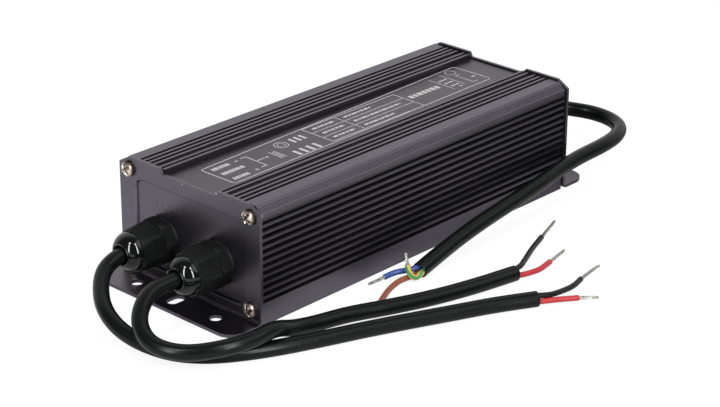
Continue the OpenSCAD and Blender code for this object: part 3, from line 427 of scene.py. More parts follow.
def jacket(name, colour, roughness, depth=0.00003, specular=0.5):
    """Extruded PVC: faint lines along the cable, a little dust and soft dents."""
    f = Finish(name, colour, roughness, Specular_IOR_Level=specular)
    round_along = f.vector("MULTIPLY", f.uv, (60, 12, 1))
    lines = f.noise(1.0, where=round_along)
    dents = f.noise(260, 2.0)
    dust = f.ease(f.noise(420, 5.0, 0.7), 0.55, 0.75)
    f.tint(lines * 0.6 + dust * 0.5, 0.85, 1.35)
    f.set("Roughness", roughness - 0.05 + 0.1 * lines + 0.1 * dust)
    f.relief(lines * 0.4 + dents * 0.6, depth, 0.6)
    return f


def striped_insulation():
    """Earth wire: yellow, with a green stripe that runs round it slowly."""
    f = Finish("striped_insulation", "#b8943f", 0.42)
    u, v, _ = f.parts(f.uv)
    turn = f.math("FRACT", u + v * 40 + 0.72)
    green = f.ease(abs(turn - 0.5), 0.08, 0.11, 1.0, 0.0)
    wear = f.noise(900)
    mixed = f.colour_mix(green, f.colour, linear("#197a49"))
    shaded = f.colour_mix(wear * 0.25, mixed, linear("#6f6a35"))
    f.set("Base Color", shaded)
    f.set("Roughness", 0.36 + 0.14 * wear)
    f.relief(wear, 0.00002, 0.5)
    return f


def tinned_copper():
    f = Finish("tinned_copper", "#cbc8c1", 0.3, metallic=1.0)
    smear = f.noise(1500, 4.0)
    f.tint(f.ease(smear, 0.35, 0.65), 0.3, 1.05)
    f.set("Roughness", 0.26 + 0.24 * smear)
    f.relief(smear, 0.00005, 0.7)
    return f


def nickel():
    """Plated screws: bright heads, with brown painted shade in the cross and round the rim."""
    f = Finish("screw_steel", "#c9bfb6", 0.3, metallic=1.0)
    x, _, _ = f.parts(f.place)
    stain = f.noise(700, 4.0)
    fine = f.noise(5000, 2.0)
    high = abs(x) - PLATE_X
    # Painted shade: the head's lowest parts, the cross recess and its foot by the plate, are mixed
    # towards dark brown
    low = f.ease(high + (stain - 0.5) * 0.0004, 0.001, 0.00145, 1.0, 0.0)
    bright = f.tint(stain, 0.85, 1.12)
    f.set("Base Color", f.colour_mix(low * 0.85, bright, linear("#5f4c3e")))
    f.set("Roughness", 0.22 + 0.16 * stain)
    f.relief(fine, 0.00002, 0.35)
    return f


def print_ink():
    """Pale ink on the label channel, thinner here and there."""
    f = Finish("print_ink", "#a09d9e", 0.5)
    thin = f.noise(1400, 4.0)
    f.tint(thin, 0.72, 1.1)
    f.set("Roughness", 0.42 + 0.16 * thin)
    return f


def board_laminate():
    """Green board with its lighter pads and darker joints between the copper fields."""
    f = Finish("board_laminate", "#2f6b45", 0.4)
    x, y, _ = f.parts(f.place)
    weave = f.math("SINE", x * 5200) * f.math("SINE", y * 5200)
    fields = f.add(
        "ShaderNodeTexVoronoi", {"feature": "DISTANCE_TO_EDGE"},
        {"Vector": f.stretched((1, 1, 0)), "Scale": 190},
    )
    joints = f.ease(fields, 0.02, 0.06)
    f.tint(joints * 0.75 + weave * 0.1, 0.6, 1.15)
    f.set("Roughness", 0.36 + 0.06 * weave)
    f.relief(joints + weave * 0.1, 0.00004, 0.5)
    return f


def wound(name, colour, pitch, roughness, metallic=0.0):
    """Turns of wire or tape side by side."""
    f = Finish(name, colour, roughness, metallic=metallic)
    x, y, _ = f.parts(f.place)
    turns = f.math("SINE", (x + y * 0.35) * (2 * math.pi / pitch))
    worn = f.noise(500)
    f.tint(turns * 0.25 + worn * 0.6, 0.6, 1.2)
    f.set("Roughness", roughness - 0.06 + 0.12 * worn)
    f.relief(turns, 0.00008, 0.7)
    return f


def sleeve():
    """A can's shrunk sleeve, with pale bands down its sides."""
    f = Finish("capacitor_sleeve", "#28344f", 0.38)
    x, _, _ = f.parts(f.place)
    stripe = f.ease(f.math("SINE", x * 420), 0.93, 0.97)
    speck = f.noise(1300)
    mixed = f.colour_mix(stripe, f.colour, linear("#9aa4ad"))
    f.set("Base Color", f.colour_mix(speck * 0.3, mixed, linear("#1d2026")))
    f.set("Roughness", 0.33 + 0.1 * speck)
    f.relief(speck, 0.00002, 0.4)
    return f


# Colour and roughness, then where needed the grain's scale and depth, and how mottled it is
MOULDED = {
    "gasket_rubber": ("#434247", 0.75),
    "seal_rubber": ("#1b1b1c", 0.6),
    "potting": ("#4a4c50", 0.45, 400, 0.00005, 0.2),
    "fuse_body": ("#6d4a2e", 0.4),
    "blue_coating": ("#2c5fa8", 0.4, 900, 0.00004),
    "yellow_case": ("#d9b02c", 0.4),
    "ferrite_green": ("#3f6a3d", 0.45, 900, 0.00004),
    "ferrite": ("#35363a", 0.6, 1200, 0.00005, 0.25),
    "moulded_black": ("#1e1f20", 0.5),
    "pad_silicone": ("#8d9196", 0.7, 2200, 0.00004),
    "bobbin_plastic": ("#24262a", 0.5),
}
# Colour and roughness, then where needed the depth of the relief and the specular level
JACKETS = {
    "cable_jacket": ("#0a0b0b", 0.25, 0.00001, 0.14),
    "black_insulation": ("#0a0a0b", 0.42, 0.00003, 0.2),
    "red_insulation": ("#93121c", 0.42),
    "blue_insulation": ("#1e3b78", 0.42),
    "brown_insulation": ("#743e29", 0.45),
}


def make_finishes():
    made = [
        extruded_tube(), end_plate(), nickel(), gland_nylon(), striped_insulation(), tinned_copper(),
        print_ink(), board_laminate(), sleeve(), wound("copper_wire", "#b06a36", 0.0009, 0.35, 1.0),
        wound("winding_tape", "#c9a53a", 0.004, 0.35), anodised("spreader_aluminium", "#a9acb0", 0.4),
    ]
    made += [moulded(name, *row) for name, row in MOULDED.items()]
    made += [jacket(name, *row) for name, row in JACKETS.items()]
    return {f.name: f.material for f in made}


# Mesh work
def unit(rows):
    return rows / np.linalg.norm(rows, axis=-1, keepdims=True)


def around(sides):
    return np.arange(sides) * 2 * math.pi / sides


def quads(sides, pairs):
    """The faces between pairs of rings that have as many points each."""
    faces = []
    for i, j in pairs:
        for k in range(sides):
            n = (k + 1) % sides
            faces.append((i * sides + k, i * sides + n, j * sides + n, j * sides + k))
    return faces


def closed_quads(sides, count):
    """The faces of a row of rings, and one face at each end of it."""
    last = (count - 1) * sides
    faces = quads(sides, [(i, i + 1) for i in range(count - 1)])
    return faces + [tuple(range(sides - 1, -1, -1)), tuple(range(last, last + sides))]


def smooth_piece(name, mesh, sharp):
    """An object of a mesh, smooth but for the edges that are sharper than so many degrees."""
    mesh.shade_smooth()
    mesh.set_sharp_from_angle(angle=math.radians(sharp))
    return new_object(name, mesh)


def solid(name, points, faces, finish, corners, sharp):
    """A closed piece from its points and faces."""
    mesh = bpy.data.meshes.new(name)
    mesh.from_pydata([tuple(p) for p in points], [], faces)
    if corners is not None:
        layer = mesh.uv_layers.new(name="round_along")
        layer.data.foreach_set("uv", np.array(corners, np.float32).ravel())
    mesh.calc_loop_triangles()
    co = np.array(points, float)
    tri = np.array([t.vertices for t in mesh.loop_triangles])
    volume = np.einsum("ij,ij->i", co[tri[:, 0]], np.cross(co[tri[:, 1]], co[tri[:, 2]])).sum()
    if volume < 0:
        mesh.flip_normals()
    mesh.materials.append(finish)
    return smooth_piece(name, mesh, sharp)


def between(a, b, at_a, at_b, t):
    return (a * (at_b - t) + b * (t - at_a)) / (at_b - at_a)


def smooth_line(route, step, passes):
    """A smooth line through the points of a route, with a point about every step."""
    p = np.array(route, float)
    p = np.vstack([2 * p[0] - p[1], p, 2 * p[-1] - p[-2]])
    t = np.concatenate([[0], np.cumsum(np.linalg.norm(np.diff(p, axis=0), axis=1) ** 0.5)])
    line = []
    for i in range(1, len(p) - 2):
        count = max(2, round(np.linalg.norm(p[i + 1] - p[i]) / step))
        for s in np.linspace(t[i], t[i + 1], count, endpoint=False):
            a = [between(p[k], p[k + 1], t[k], t[k + 1], s) for k in (i - 1, i, i + 1)]
            b = [between(a[k], a[k + 1], t[i - 1 + k], t[i + 1 + k], s) for k in (0, 1)]
            line.append(between(*b, t[i], t[i + 1], s))
    line.append(p[-2])
    line = np.array(line)
    for _ in range(passes):
        line[1:-1] = (line[:-2] + 2 * line[1:-1] + line[2:]) / 4
    return line


def directions(line):
    """The way ahead at each point of a line, and a side that doesn't twist."""
    ahead = unit(np.gradient(line, axis=0))
    side = [unit(np.cross(ahead[0], (0, 0.1, 1.0)))]
    for way in ahead[1:]:
        turned = side[-1] - way * (side[-1] @ way)
        side.append(turned / np.linalg.norm(turned))
    side = np.array(side)
    return ahead, side, np.cross(ahead, side)


def tube(name, line, radius, sides, nose, finish):
    """A round tube along a line. The nose is the tube's end: pairs of how far back and how wide."""
    ahead, side, top = directions(line)
    left = np.linalg.norm(line - line[-1], axis=1)
    rings = [(line[i], side[i], top[i], radius) for i in range(len(line)) if left[i] > nose[0][0]]
    for back, wide in nose:
        rings.append((line[-1] - ahead[-1] * back, side[-1], top[-1], wide))
    angles = around(sides)
    points = []
    along = [0.0]
    for i, (centre, s, t, r) in enumerate(rings):
        points.extend(centre + r * (np.outer(np.cos(angles), s) + np.outer(np.sin(angles), t)))
        if i:
            along.append(along[-1] + np.linalg.norm(centre - rings[i - 1][0]))
    corners = []
    for i in range(len(rings) - 1):
        for k in range(sides):
            low, high = k / sides, (k + 1) / sides
            corners += [(low, along[i]), (high, along[i]), (high, along[i + 1]), (low, along[i + 1])]
    corners += [(k / sides, 0.0) for k in range(sides - 1, -1, -1)]
    corners += [(k / sides, along[-1]) for k in range(sides)]
    return solid(name, points, closed_quads(sides, len(rings)), finish, corners, 50)


# Cables, with their wires
def jacket_end(radius, wall):
    hollow = radius - wall
    return [
        (0.0004, radius), (0.00015, radius - 0.00006), (0.0, radius - 0.00025),
        (0.00002, hollow + 0.0002), (0.0002, hollow), (0.0028, hollow), (0.0028, 0.0002),
    ]


def wire_end(radius):
    return [
        (0.0002, radius), (0.00006, radius - 0.00005), (0.0, radius - 0.00016),
        (0.0, TINNED_R + 0.00005), (0.0003, TINNED_R), (0.0003, 0.0001),
    ]


def wire_line(cable, route, gather):
    """The wire's own route, led back into the jacket's hollow beside the other wires."""
    end = np.array(cable[-1])
    way = unit(end - np.array(cable[-2]))
    off = np.array(route[0]) - end
    off = unit(off - way * (off @ way)) * gather
    return smooth_line([end - way * 0.0026 + off, end - way * 0.001 + off, *route], 0.0006, 3)


def wire_finish(name):
    colour = name.split("_")[1]
    return ("striped" if colour == "earth" else colour) + "_insulation"


def make_cables(finish):
    made = {}
    routes = {name: [in_metres(p) for p in route] for name, route in {**CABLES, **WIRES}.items()}
    lines = {}
    for name in CABLES:
        radius = MAINS_R if name == "mains_cable" else OUTPUT_R
        wall = MAINS_WALL if name == "mains_cable" else OUTPUT_WALL
        lines[name] = smooth_line(routes[name], 0.0012, 8)
        nose = jacket_end(radius, wall)
        made[name] = tube(name + "_jacket", lines[name], radius, 40, nose, finish["cable_jacket"])
    wire_lines = {}
    for name in WIRES:
        mains = name.startswith("mains")
        cable = "mains_cable" if mains else name.split("_")[0] + "_output_cable"
        radius = MAINS_WIRE_R if mains else OUTPUT_WIRE_R
        gather = MAINS_GATHER if mains else OUTPUT_GATHER
        wire_lines[name] = wire_line(routes[cable], routes[name], gather)
        made[name] = tube(
            name + "_insulation", wire_lines[name], radius, 24, wire_end(radius),
            finish[wire_finish(name)],
        )
    return made, lines, wire_lines


# Geometry node trees: each has named inputs, and its result becomes a plain mesh
SOCKETS = {float: "Float", int: "Int", bpy.types.Material: "Material", bpy.types.Object: "Object"}


def nodes_group(name, inputs):
    """A new geometry tree with its inputs, which come back as wrapped sockets by name."""
    group = bpy.data.node_groups.new(name, "GeometryNodeTree")
    group.interface.new_socket("Geometry", in_out="INPUT", socket_type="NodeSocketGeometry")
    for key, value in inputs.items():
        kind = "NodeSocket" + SOCKETS[type(value)]
        group.interface.new_socket(key, in_out="INPUT", socket_type=kind)
    group.interface.new_socket("Geometry", in_out="OUTPUT", socket_type="NodeSocketGeometry")
    net = Net(group)
    entry = group.nodes.new("NodeGroupInput")
    return net, {socket.name: Value(net, socket) for socket in entry.outputs if socket.name}


def close_group(net, geometry, material):
    real = net.add("GeometryNodeRealizeInstances", {}, {0: geometry})
    done = net.add("GeometryNodeSetMaterial", {}, {"Geometry": real, "Material": material})
    leave = net.tree.nodes.new("NodeGroupOutput")
    net.feed(leave.inputs[0], done)


def grown(name, start, group, inputs, sharp):
    """Runs a tree on a starting mesh and keeps its result as a plain mesh at the origin."""
    holder = new_object(name + "_start", start)
    modifier = holder.modifiers.new(name, "NODES")
    modifier.node_group = group
    for item in group.interface.items_tree:
        if item.in_out == "INPUT" and item.name in inputs:
            modifier[item.identifier] = inputs[item.name]
    bpy.context.view_layer.update()
    graph = bpy.context.evaluated_depsgraph_get()
    mesh = bpy.data.meshes.new_from_object(holder.evaluated_get(graph), depsgraph=graph)
    mesh.name = name
    bpy.data.objects.remove(holder)
    return smooth_piece(name, mesh, sharp)


def points_mesh(name, places, attributes, edges=()):
    """Loose points or lines, with the attributes that a tree reads."""
    mesh = bpy.data.meshes.new(name)
    mesh.from_pydata([tuple(p) for p in places], list(edges), [])
    for key, (kind, values) in attributes.items():
        layer = mesh.attributes.new(key, kind, "POINT")
        field = "vector" if kind == "FLOAT_VECTOR" else "value"
        layer.data.foreach_set(field, np.array(values, np.float32).ravel())
    return mesh


# Tinned wire ends: a few strands laid round each other, pressed together at the tip
def strand_group(inputs):
    net, given = nodes_group("strands", inputs)
    curve = net.add("GeometryNodeMeshToCurve", {}, {0: given["Geometry"]})
    curve = net.add("GeometryNodeResampleCurve", {}, {"Curve": curve, "Count": 26})
    copies = net.add(
        "GeometryNodeDuplicateElements", {"domain": "SPLINE"},
        {"Geometry": curve, "Amount": given["Strands"]},
    )
    number = Value(net, copies.socket.node.outputs["Duplicate Index"])
    stored = net.add(
        "GeometryNodeStoreNamedAttribute", {"data_type": "INT", "domain": "CURVE"},
        {"Geometry": copies, "Name": "number", "Value": number},
    )
    number = net.stored("INT", "number")
    share = net.add("GeometryNodeSplineParameter", out=0)
    length = net.add("GeometryNodeSplineParameter", out=1)
    turned = number * (2 * math.pi) / given["Strands"] + length * given["Twist"]
    wander = net.add(
        "ShaderNodeTexNoise", {"noise_dimensions": "4D"},
        {"W": number * 3.7 + given["Seed"], "Scale": 320.0, "Detail": 1.0},
    )
    spread = given["Bundle"] * (1.0 - 0.35 * share) * (0.75 + 0.5 * wander)
    ahead = net.add("GeometryNodeInputTangent")
    side = net.vector("NORMALIZE", net.vector("CROSS_PRODUCT", ahead, (0.0, 0.0, 1.0)))
    top = net.vector("CROSS_PRODUCT", side, ahead)
    a = net.scaled(side, net.math("COSINE", turned) * spread)
    b = net.scaled(top, net.math("SINE", turned) * spread)
    moved = net.add(
        "GeometryNodeSetPosition", {}, {"Geometry": stored, "Offset": net.vector("ADD", a, b)}
    )
    ring = net.add(
        "GeometryNodeCurvePrimitiveCircle", {"mode": "RADIUS"},
        {"Resolution": 8, "Radius": given["Strand radius"]},
    )
    swept = net.add(
        "GeometryNodeCurveToMesh", {},
        {"Curve": moved, "Profile Curve": ring, "Fill Caps": True},
    )
    close_group(net, swept, given["Finish"])
    return net.tree


def make_bare_ends(name, wires, wire_lines, finish, seed):
    places = []
    edges = []
    for wire in wires:
        start = wire_lines[wire][-1]
        way = unit(start - wire_lines[wire][-4])
        tip = np.array(in_metres(BARE_TIPS[wire]))
        long = np.linalg.norm(tip - start)
        first = len(places)
        for t in np.linspace(0, 1, STRAND_STEPS + 1):
            places.append((1 - t) * (start - way * 0.0003 + way * long * t) + t * tip)
        edges.extend((first + i, first + i + 1) for i in range(STRAND_STEPS))
    inputs = {
        "Strands": 6, "Twist": 520.0, "Bundle": 0.00044, "Strand radius": 0.00022,
        "Seed": float(seed), "Finish": finish["tinned_copper"],
    }
    return grown(name, points_mesh(name, places, {}, edges), strand_group(inputs), inputs, 60)


# End screws: pan heads with a cross recess
def screw_blank(finish):
    """One screw at the origin, its head along +Z, as a mesh for the tree to set in place."""
    sides = 96
    angles = around(sides)
    rings = []
    for r in np.linspace(0.06, 1.0, 26) * HEAD_R:
        x, y = r * np.cos(angles), r * np.sin(angles)
        dome = HEAD_H - HEAD_DROP * (r / HEAD_R) ** 2.4
        arm = np.minimum(
            np.maximum(np.abs(x) / RECESS_REACH, np.abs(y) / RECESS_HALF_W),
            np.maximum(np.abs(y) / RECESS_REACH, np.abs(x) / RECESS_HALF_W),
        )
        dip = np.clip((1.12 - arm) / 0.26, 0, 1)
        dip = dip * dip * (3 - 2 * dip)
        floor = RECESS_DEPTH * np.clip(1.3 - r / 0.0023, 0.35, 1)
        rings.append(np.stack([x, y, dome - floor * dip], 1))
    profile = [
        (2.82, 0.7), (2.84, 0.4), (2.8, 0.1), (2.7, 0), (1.4, 0), (1.4, -9), (0.9, -9.9), (0.2, -10),
    ]
    for r, z in map(in_metres, profile):
        rings.append(np.stack([r * np.cos(angles), r * np.sin(angles), np.full(sides, z)], 1))
    faces = closed_quads(sides, len(rings))
    return solid("screw_blank", np.concatenate(rings), faces, finish, None, 40)


def set_at_points(net, given, thing, facing, scale):
    """Sets a thing at each point of the start, turned and sized, and closes the tree."""
    turned = net.add("FunctionNodeEulerToRotation", {}, {0: facing})
    placed = net.add(
        "GeometryNodeInstanceOnPoints", {},
        {"Points": given["Geometry"], "Instance": thing, "Rotation": turned, "Scale": scale},
    )
    close_group(net, placed, given["Finish"])
    return net.tree


def placing_group(name, inputs):
    """Sets one object at each point, turned as the point's own attribute says."""
    net, given = nodes_group(name, inputs)
    blank = net.add(
        "GeometryNodeObjectInfo", {"transform_space": "ORIGINAL"},
        {"Object": given["Blank"], "As Instance": True}, "Geometry",
    )
    size = net.add("ShaderNodeCombineXYZ", {}, {axis: given["Size"] for axis in range(3)})
    return set_at_points(net, given, blank, net.stored("FLOAT_VECTOR", "facing"), size)


def make_end_screws(name, end, turns, blank, finish):
    places = [(end * PLATE_X, y, z) for y in (-SCREW_Y, SCREW_Y) for z in (SCREW_LOW, SCREW_HIGH)]
    lain = Matrix.Rotation(end * math.pi / 2, 4, "Y")
    facing = [tuple((lain @ Matrix.Rotation(math.radians(t), 4, "Z")).to_euler()) for t in turns]
    inputs = {"Blank": blank, "Size": 1.0, "Finish": finish["screw_steel"]}
    start = points_mesh(name, places, {"facing": ("FLOAT_VECTOR", facing)})
    return grown(name, start, placing_group(name, inputs), inputs, 40)


# Glands
def soft_least(a, b, soft):
    """The smaller of two widths, with a rounded change from one to the other."""
    h = np.clip(0.5 + 0.5 * (b - a) / soft, 0, 1)
    return b * (1 - h) + a * h - soft * h * (1 - h)


def six_flats(angle, across, soft):
    """Half the width of a hexagon with flats at top and bottom, its corners rounded."""
    phi = (angle - math.pi / 2 + math.pi / 6) % (math.pi / 3) - math.pi / 6
    reach = across / 2 / np.cos(phi)
    return soft_least(reach, np.full_like(reach, across / 2 / math.cos(math.pi / 6) - soft), soft)


def across_flats(out):
    """The cap nut's flats lean inwards towards its lip."""
    return CAP_FLATS - 0.1 * max(out - CAP_START, 0.0)


def turned_ring(name, profile, y, end, sides, finish, turn=0.0):
    """A closed outline turned round a gland's axis. Each point says how far out it is from the
    plate, how wide, and whether the six flats (1) and also the knurl lines (2) cut it."""
    angles = around(sides)
    points = []
    for out, radius, cut in profile:
        r = np.full(sides, float(radius))
        if cut:
            r = soft_least(r, six_flats(angles - turn, across_flats(out), 0.00015), 0.00015)
        if cut == 2:
            phi = (angles - turn - math.pi / 3) % (math.pi / 3) - math.pi / 6
            place = KNURL_AT * np.tan(phi) / KNURL_PITCH
            line = np.clip(1 - np.abs(place - 0.5 - np.round(place - 0.5)) / 0.24, 0, 1)
            r = r - KNURL_DEPTH * line * (np.abs(place) < 2.8)
        x = np.full(sides, end * (PLATE_X + out))
        points.append(np.stack([x, y + r * np.cos(angles), GLAND_Z + r * np.sin(angles)], 1))
    count = len(profile)
    faces = quads(sides, [(i, (i + 1) % count) for i in range(count)])
    return solid(name, np.concatenate(points), faces, finish, None, 32)


def outline_points(cut, *pairs):
    """Points of a gland's outline, from millimetres out and wide."""
    return [(*in_metres(pair), cut) for pair in pairs]


def cap_outline():
    """The cap nut: its tapered skirt with a lip, the round dome and the collar at its mouth."""
    def skirt(out):
        return 0.00856 - 0.112 * (out - CAP_START)

    rows = outline_points(1, (4.9, 7.7), (4.95, 8.1), (5.1, 8.4))
    rows += [(out, skirt(out), 1) for out in (0.0053, 0.0056, 0.0057)]
    rows += [(out, skirt(out), 2) for out in np.linspace(0.00572, 0.0127, 8)]
    rows += [(out, skirt(out), 1) for out in (0.0128, 0.013, 0.0134, 0.0136)]
    rows += outline_points(1, (13.8, 7.45), (13.88, 7.3), (13.9, 7.1)) + outline_points(0, (13.9, 6.9))
    for a in np.radians(np.arange(3, 61, 3)):
        out, wide = CAP_DOME_R * math.sin(a), CAP_DOME_R * math.cos(a)
        rows.append((CAP_LIP + out, CAP_DOME_MID + wide, 0))
    return rows + outline_points(
        0, (18.36, 4.24), (18.3, 4.16), (18.3, 4.08), (18.4, 4.05), (18.6, 4.04), (18.72, 3.96),
        (18.75, 3.8), (18.73, 3.6), (18.6, 3.46), (18.4, 3.4), (14.9, 3.4), (14.9, 5.05), (14.4, 5.05),
        (14.4, 6.15), (4.9, 6.15),
    )


def body_outline():
    """The gland's body: thread inside the plate, hexagon outside it, and the neck in the cap."""
    rows = outline_points(0, (-8, 5.6), (-7.7, 6), (0, 6))
    rows += outline_points(1, (0, 7.8), (0.2, 8.2), (0.4, 8.3), (4.1, 8.3), (4.4, 8.1), (4.6, 7.7))
    rows += outline_points(0, (4.6, 5.9), (13.8, 5.9), (14, 5.7), (14, 5.1), (7, 5.1), (7, 3.8))
    return rows + outline_points(0, (-8, 3.8))


def make_glands(finish):
    made = []
    for name, y, end, turn in (
        ("left", GLAND_Y, -1, -20), ("right", -GLAND_Y, -1, -5), ("mains", 0.0, 1, 0),
    ):
        nylon = finish["gland_nylon"]
        turn = math.radians(turn) * end
        cap = turned_ring(name + "_cap_nut", cap_outline(), y, end, 384, nylon, turn)
        body = turned_ring(name + "_hex_body", body_outline(), y, end, 144, nylon)
        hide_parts(name + "_gland_cap")
        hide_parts(name + "_gland_body")
        made += [cap, body]
    return made


# The print on the label channel: frame lines, fields, brackets, rings and rows of dashes.
# Places are millimetres from the front plate and from the channel's middle
def dashes(x0, x1, y, height, lengths, gap):
    """A row of dashes from x0 to x1."""
    rows = []
    x = x0
    while x < x1:
        end = min(x + lengths[len(rows) % len(lengths)], x1)
        rows.append((x, y, end, y, height))
        x = end + gap
    return rows


def ring(x, y, r, width, count=20):
    p = [(x + r * math.cos(a), y + r * math.sin(a)) for a in around(count)]
    return [(*a, *b, width) for a, b in zip(p, p[1:] + p[:1])]


def bracket(x, y0, y1, prong, width):
    return [(x, y0, x, y1, width), (x, y0, x + prong, y0, width), (x, y1, x + prong, y1, width)]


def field(x0, y0, x1, y1, width):
    return [
        (x0, y0, x1, y0, width), (x1, y0, x1, y1, width),
        (x1, y1, x0, y1, width), (x0, y1, x0, y0, width),
    ]


def outline_strokes(width):
    """The long frame with its rounded corners. It stands a little askew in the channel."""
    corners = np.array([(12.3, 6.9), (12.6, -9.5), (148.2, -6.8), (147.7, 11.4)])
    rounded = []
    for i, corner in enumerate(corners):
        a = corner + unit(corners[i - 1] - corner) * 1.6
        b = corner + unit(corners[(i + 1) % 4] - corner) * 1.6
        for t in np.linspace(0, 1, 5):
            rounded.append((1 - t) ** 2 * a + 2 * t * (1 - t) * corner + t * t * b)
    return [(*a, *b, width) for a, b in zip(rounded, rounded[1:] + rounded[:1])]


def label_strokes():
    rows = outline_strokes(0.4)
    rows += bracket(31, -6, 4.5, -2.5, 0.4)
    rows += [(31, -0.9, 35, -0.9, 0.4), (35.6, -1, 36.5, -1, 0.9)]
    for x, long in ((39.2, 7.0), (40.2, 5.5), (41.2, 6.5)):
        rows.append((x, -2 - long / 2, x, -2 + long / 2, 0.35))
    rows += ring(47, 3.2, 2.6, 0.35) + ring(47, 3.2, 1.5, 0.25, 14)
    for y, x1 in ((4.0, 23), (-1.0, 25), (-6.5, 22)):
        rows += dashes(15, x1, y, 1.9, (0.8, 1.1, 0.5, 0.9), 0.45)
    rows += [(25.4, 4, 26.8, 4, 0.45), (25.4, -6.3, 26.8, -6.3, 0.45), (26.1, -7, 26.1, -5.6, 0.45)]
    for x in (46, 49.2, 52.4, 55.6):
        rows.append((x, -8.0, x, -3.6, 1.3))
    for x in (52.5, 55.0, 57.5):
        rows.append((x, 1.3, x, 5.1, 1.1))
    rows += field(62, -7.4, 110, 8.1, 0.35)
    rows += [(62, -2.4, 110, -2.2, 0.3), (62, 2.9, 110, 3.1, 0.3), (78.5, -7.4, 78.5, 8.3, 0.3)]
    for y in (-4.8, 0.4, 5.6):
        rows += dashes(65, 76, y, 1.1, (2.1, 0.9, 1.6, 1.2), 0.6)
        rows += dashes(81, 106 - 2 * abs(y), y, 1.1, (1.9, 1.1, 2.6, 0.8, 1.5), 0.55)
    rows += dashes(112, 128, 1.6, 2.6, (1.7, 1.4, 1.9), 0.7)
    rows += [(130.3, -4, 130.3, 8.6, 0.3), (137, -3.4, 137, 9.2, 0.3)]
    for y in (-1.5, 1.6, 4.7):
        rows += dashes(131.7, 135.8, y, 0.9, (1.2, 0.8), 0.5)
    rows += [(134.1, -3.7, 135, -3.7, 0.8)]
    rows += bracket(141, -4.2, 4.6, 2.2, 0.35)
    rows += ring(142, 8, 2.1, 0.3) + dashes(144.6, 146.6, -0.5, 0.9, (0.8, 0.6), 0.4)
    return rows


def bar_group(inputs):
    """Lays a thin bar at each point, as long and as wide as the point's own attribute says."""
    net, given = nodes_group("print_bars", inputs)
    bar = net.add("GeometryNodeMeshCube", {}, {"Size": (1.0, 1.0, 1.0)})
    heading = net.add("ShaderNodeCombineXYZ", {}, {2: net.stored("FLOAT", "heading")})
    thick = net.add("ShaderNodeCombineXYZ", {}, {0: 1.0, 1: 1.0, 2: given["Thickness"]})
    scale = net.vector("MULTIPLY", net.stored("FLOAT_VECTOR", "size"), thick)
    return set_at_points(net, given, bar, heading, scale)


def make_label_print(finish):
    places = []
    sizes = []
    headings = []
    for x0, y0, x1, y1, width in label_strokes():
        a, b = np.array([x0, y0]) * MM, np.array([x1, y1]) * MM
        long = np.linalg.norm(b - a)
        middle = (a + b) / 2
        places.append((middle[0] - PRINT_START, middle[1], LABEL_Z + 0.00001))
        sizes.append((long + (0.0001 if long > 0.0004 else 0), width * MM, 1.0))
        headings.append(math.atan2(*(b - a)[::-1]))
    inputs = {"Thickness": 0.00003, "Finish": finish["print_ink"]}
    attributes = {"size": ("FLOAT_VECTOR", sizes), "heading": ("FLOAT", headings)}
    start = points_mesh("label_print", places, attributes)
    return grown("label_print", start, bar_group(inputs), inputs, 30)


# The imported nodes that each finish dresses
FINISHED_NODES = {
    "anodised_aluminium": ["housing"],
    "plate_aluminium": ["front_end_plate", "rear_end_plate"],
    "gasket_rubber": ["front_gasket", "rear_gasket"],
    "seal_rubber": ["left_gland_bush", "right_gland_bush", "mains_gland_bush", "gland_washers"],
    "gland_nylon": ["gland_locknuts"],
    "screw_steel": ["spreader_screws"],
    "board_laminate": ["circuit_board"],
    "potting": ["potting_bed"],
    "fuse_body": ["fuse"],
    "blue_coating": ["varistor", "y_capacitor"],
    "yellow_case": ["x_capacitor"],
    "ferrite_green": ["line_choke_core"],
    "ferrite": ["transformer_core", "output_choke_core"],
    "copper_wire": ["line_choke_windings", "output_choke_winding"],
    "moulded_black": [
        "bridge_rectifier", "switching_transistor", "output_rectifier", "control_chip", "optocoupler",
    ],
    "capacitor_sleeve": ["bulk_capacitor", "output_capacitors"],
    "spreader_aluminium": ["heat_spreaders"],
    "pad_silicone": ["insulating_pads"],
    "bobbin_plastic": ["transformer_bobbin"],
    "winding_tape": ["transformer_winding"],
    "black_insulation": ["output_tails"],
    "brown_insulation": ["mains_tails"],
}


def finish_nodes(finish):
    for key, names in FINISHED_NODES.items():
        for name in names:
            slots = NODES[name].data.materials
            for i in range(len(slots)):
                slots[i] = finish[key]
            if not len(slots):
                slots.append(finish[key])


# Floor, sky and lamps. Levels are shares of white
FLOOR_HALF = 4.0
FLOOR_Z = -0.0001
FLOOR_SEEN = 0.97
FLOOR_GLOW = 0.86
FLOOR_SHADE_X = (0.0, 0.16)
BACKDROP_WAY = (0.733, 0.68, 0.0)
ROOM_LEVEL = 0.06
SOFT_PANEL_WAY = (0.38, -0.6, 0.7)
SOFT_PANEL_LEVEL = 1.9
OVERHEAD_WATTS = 3.1
STRIP_AWAY = 1.2
STRIP_WIDE = 0.15
STRIP_WATTS_PER_AREA = 88.83


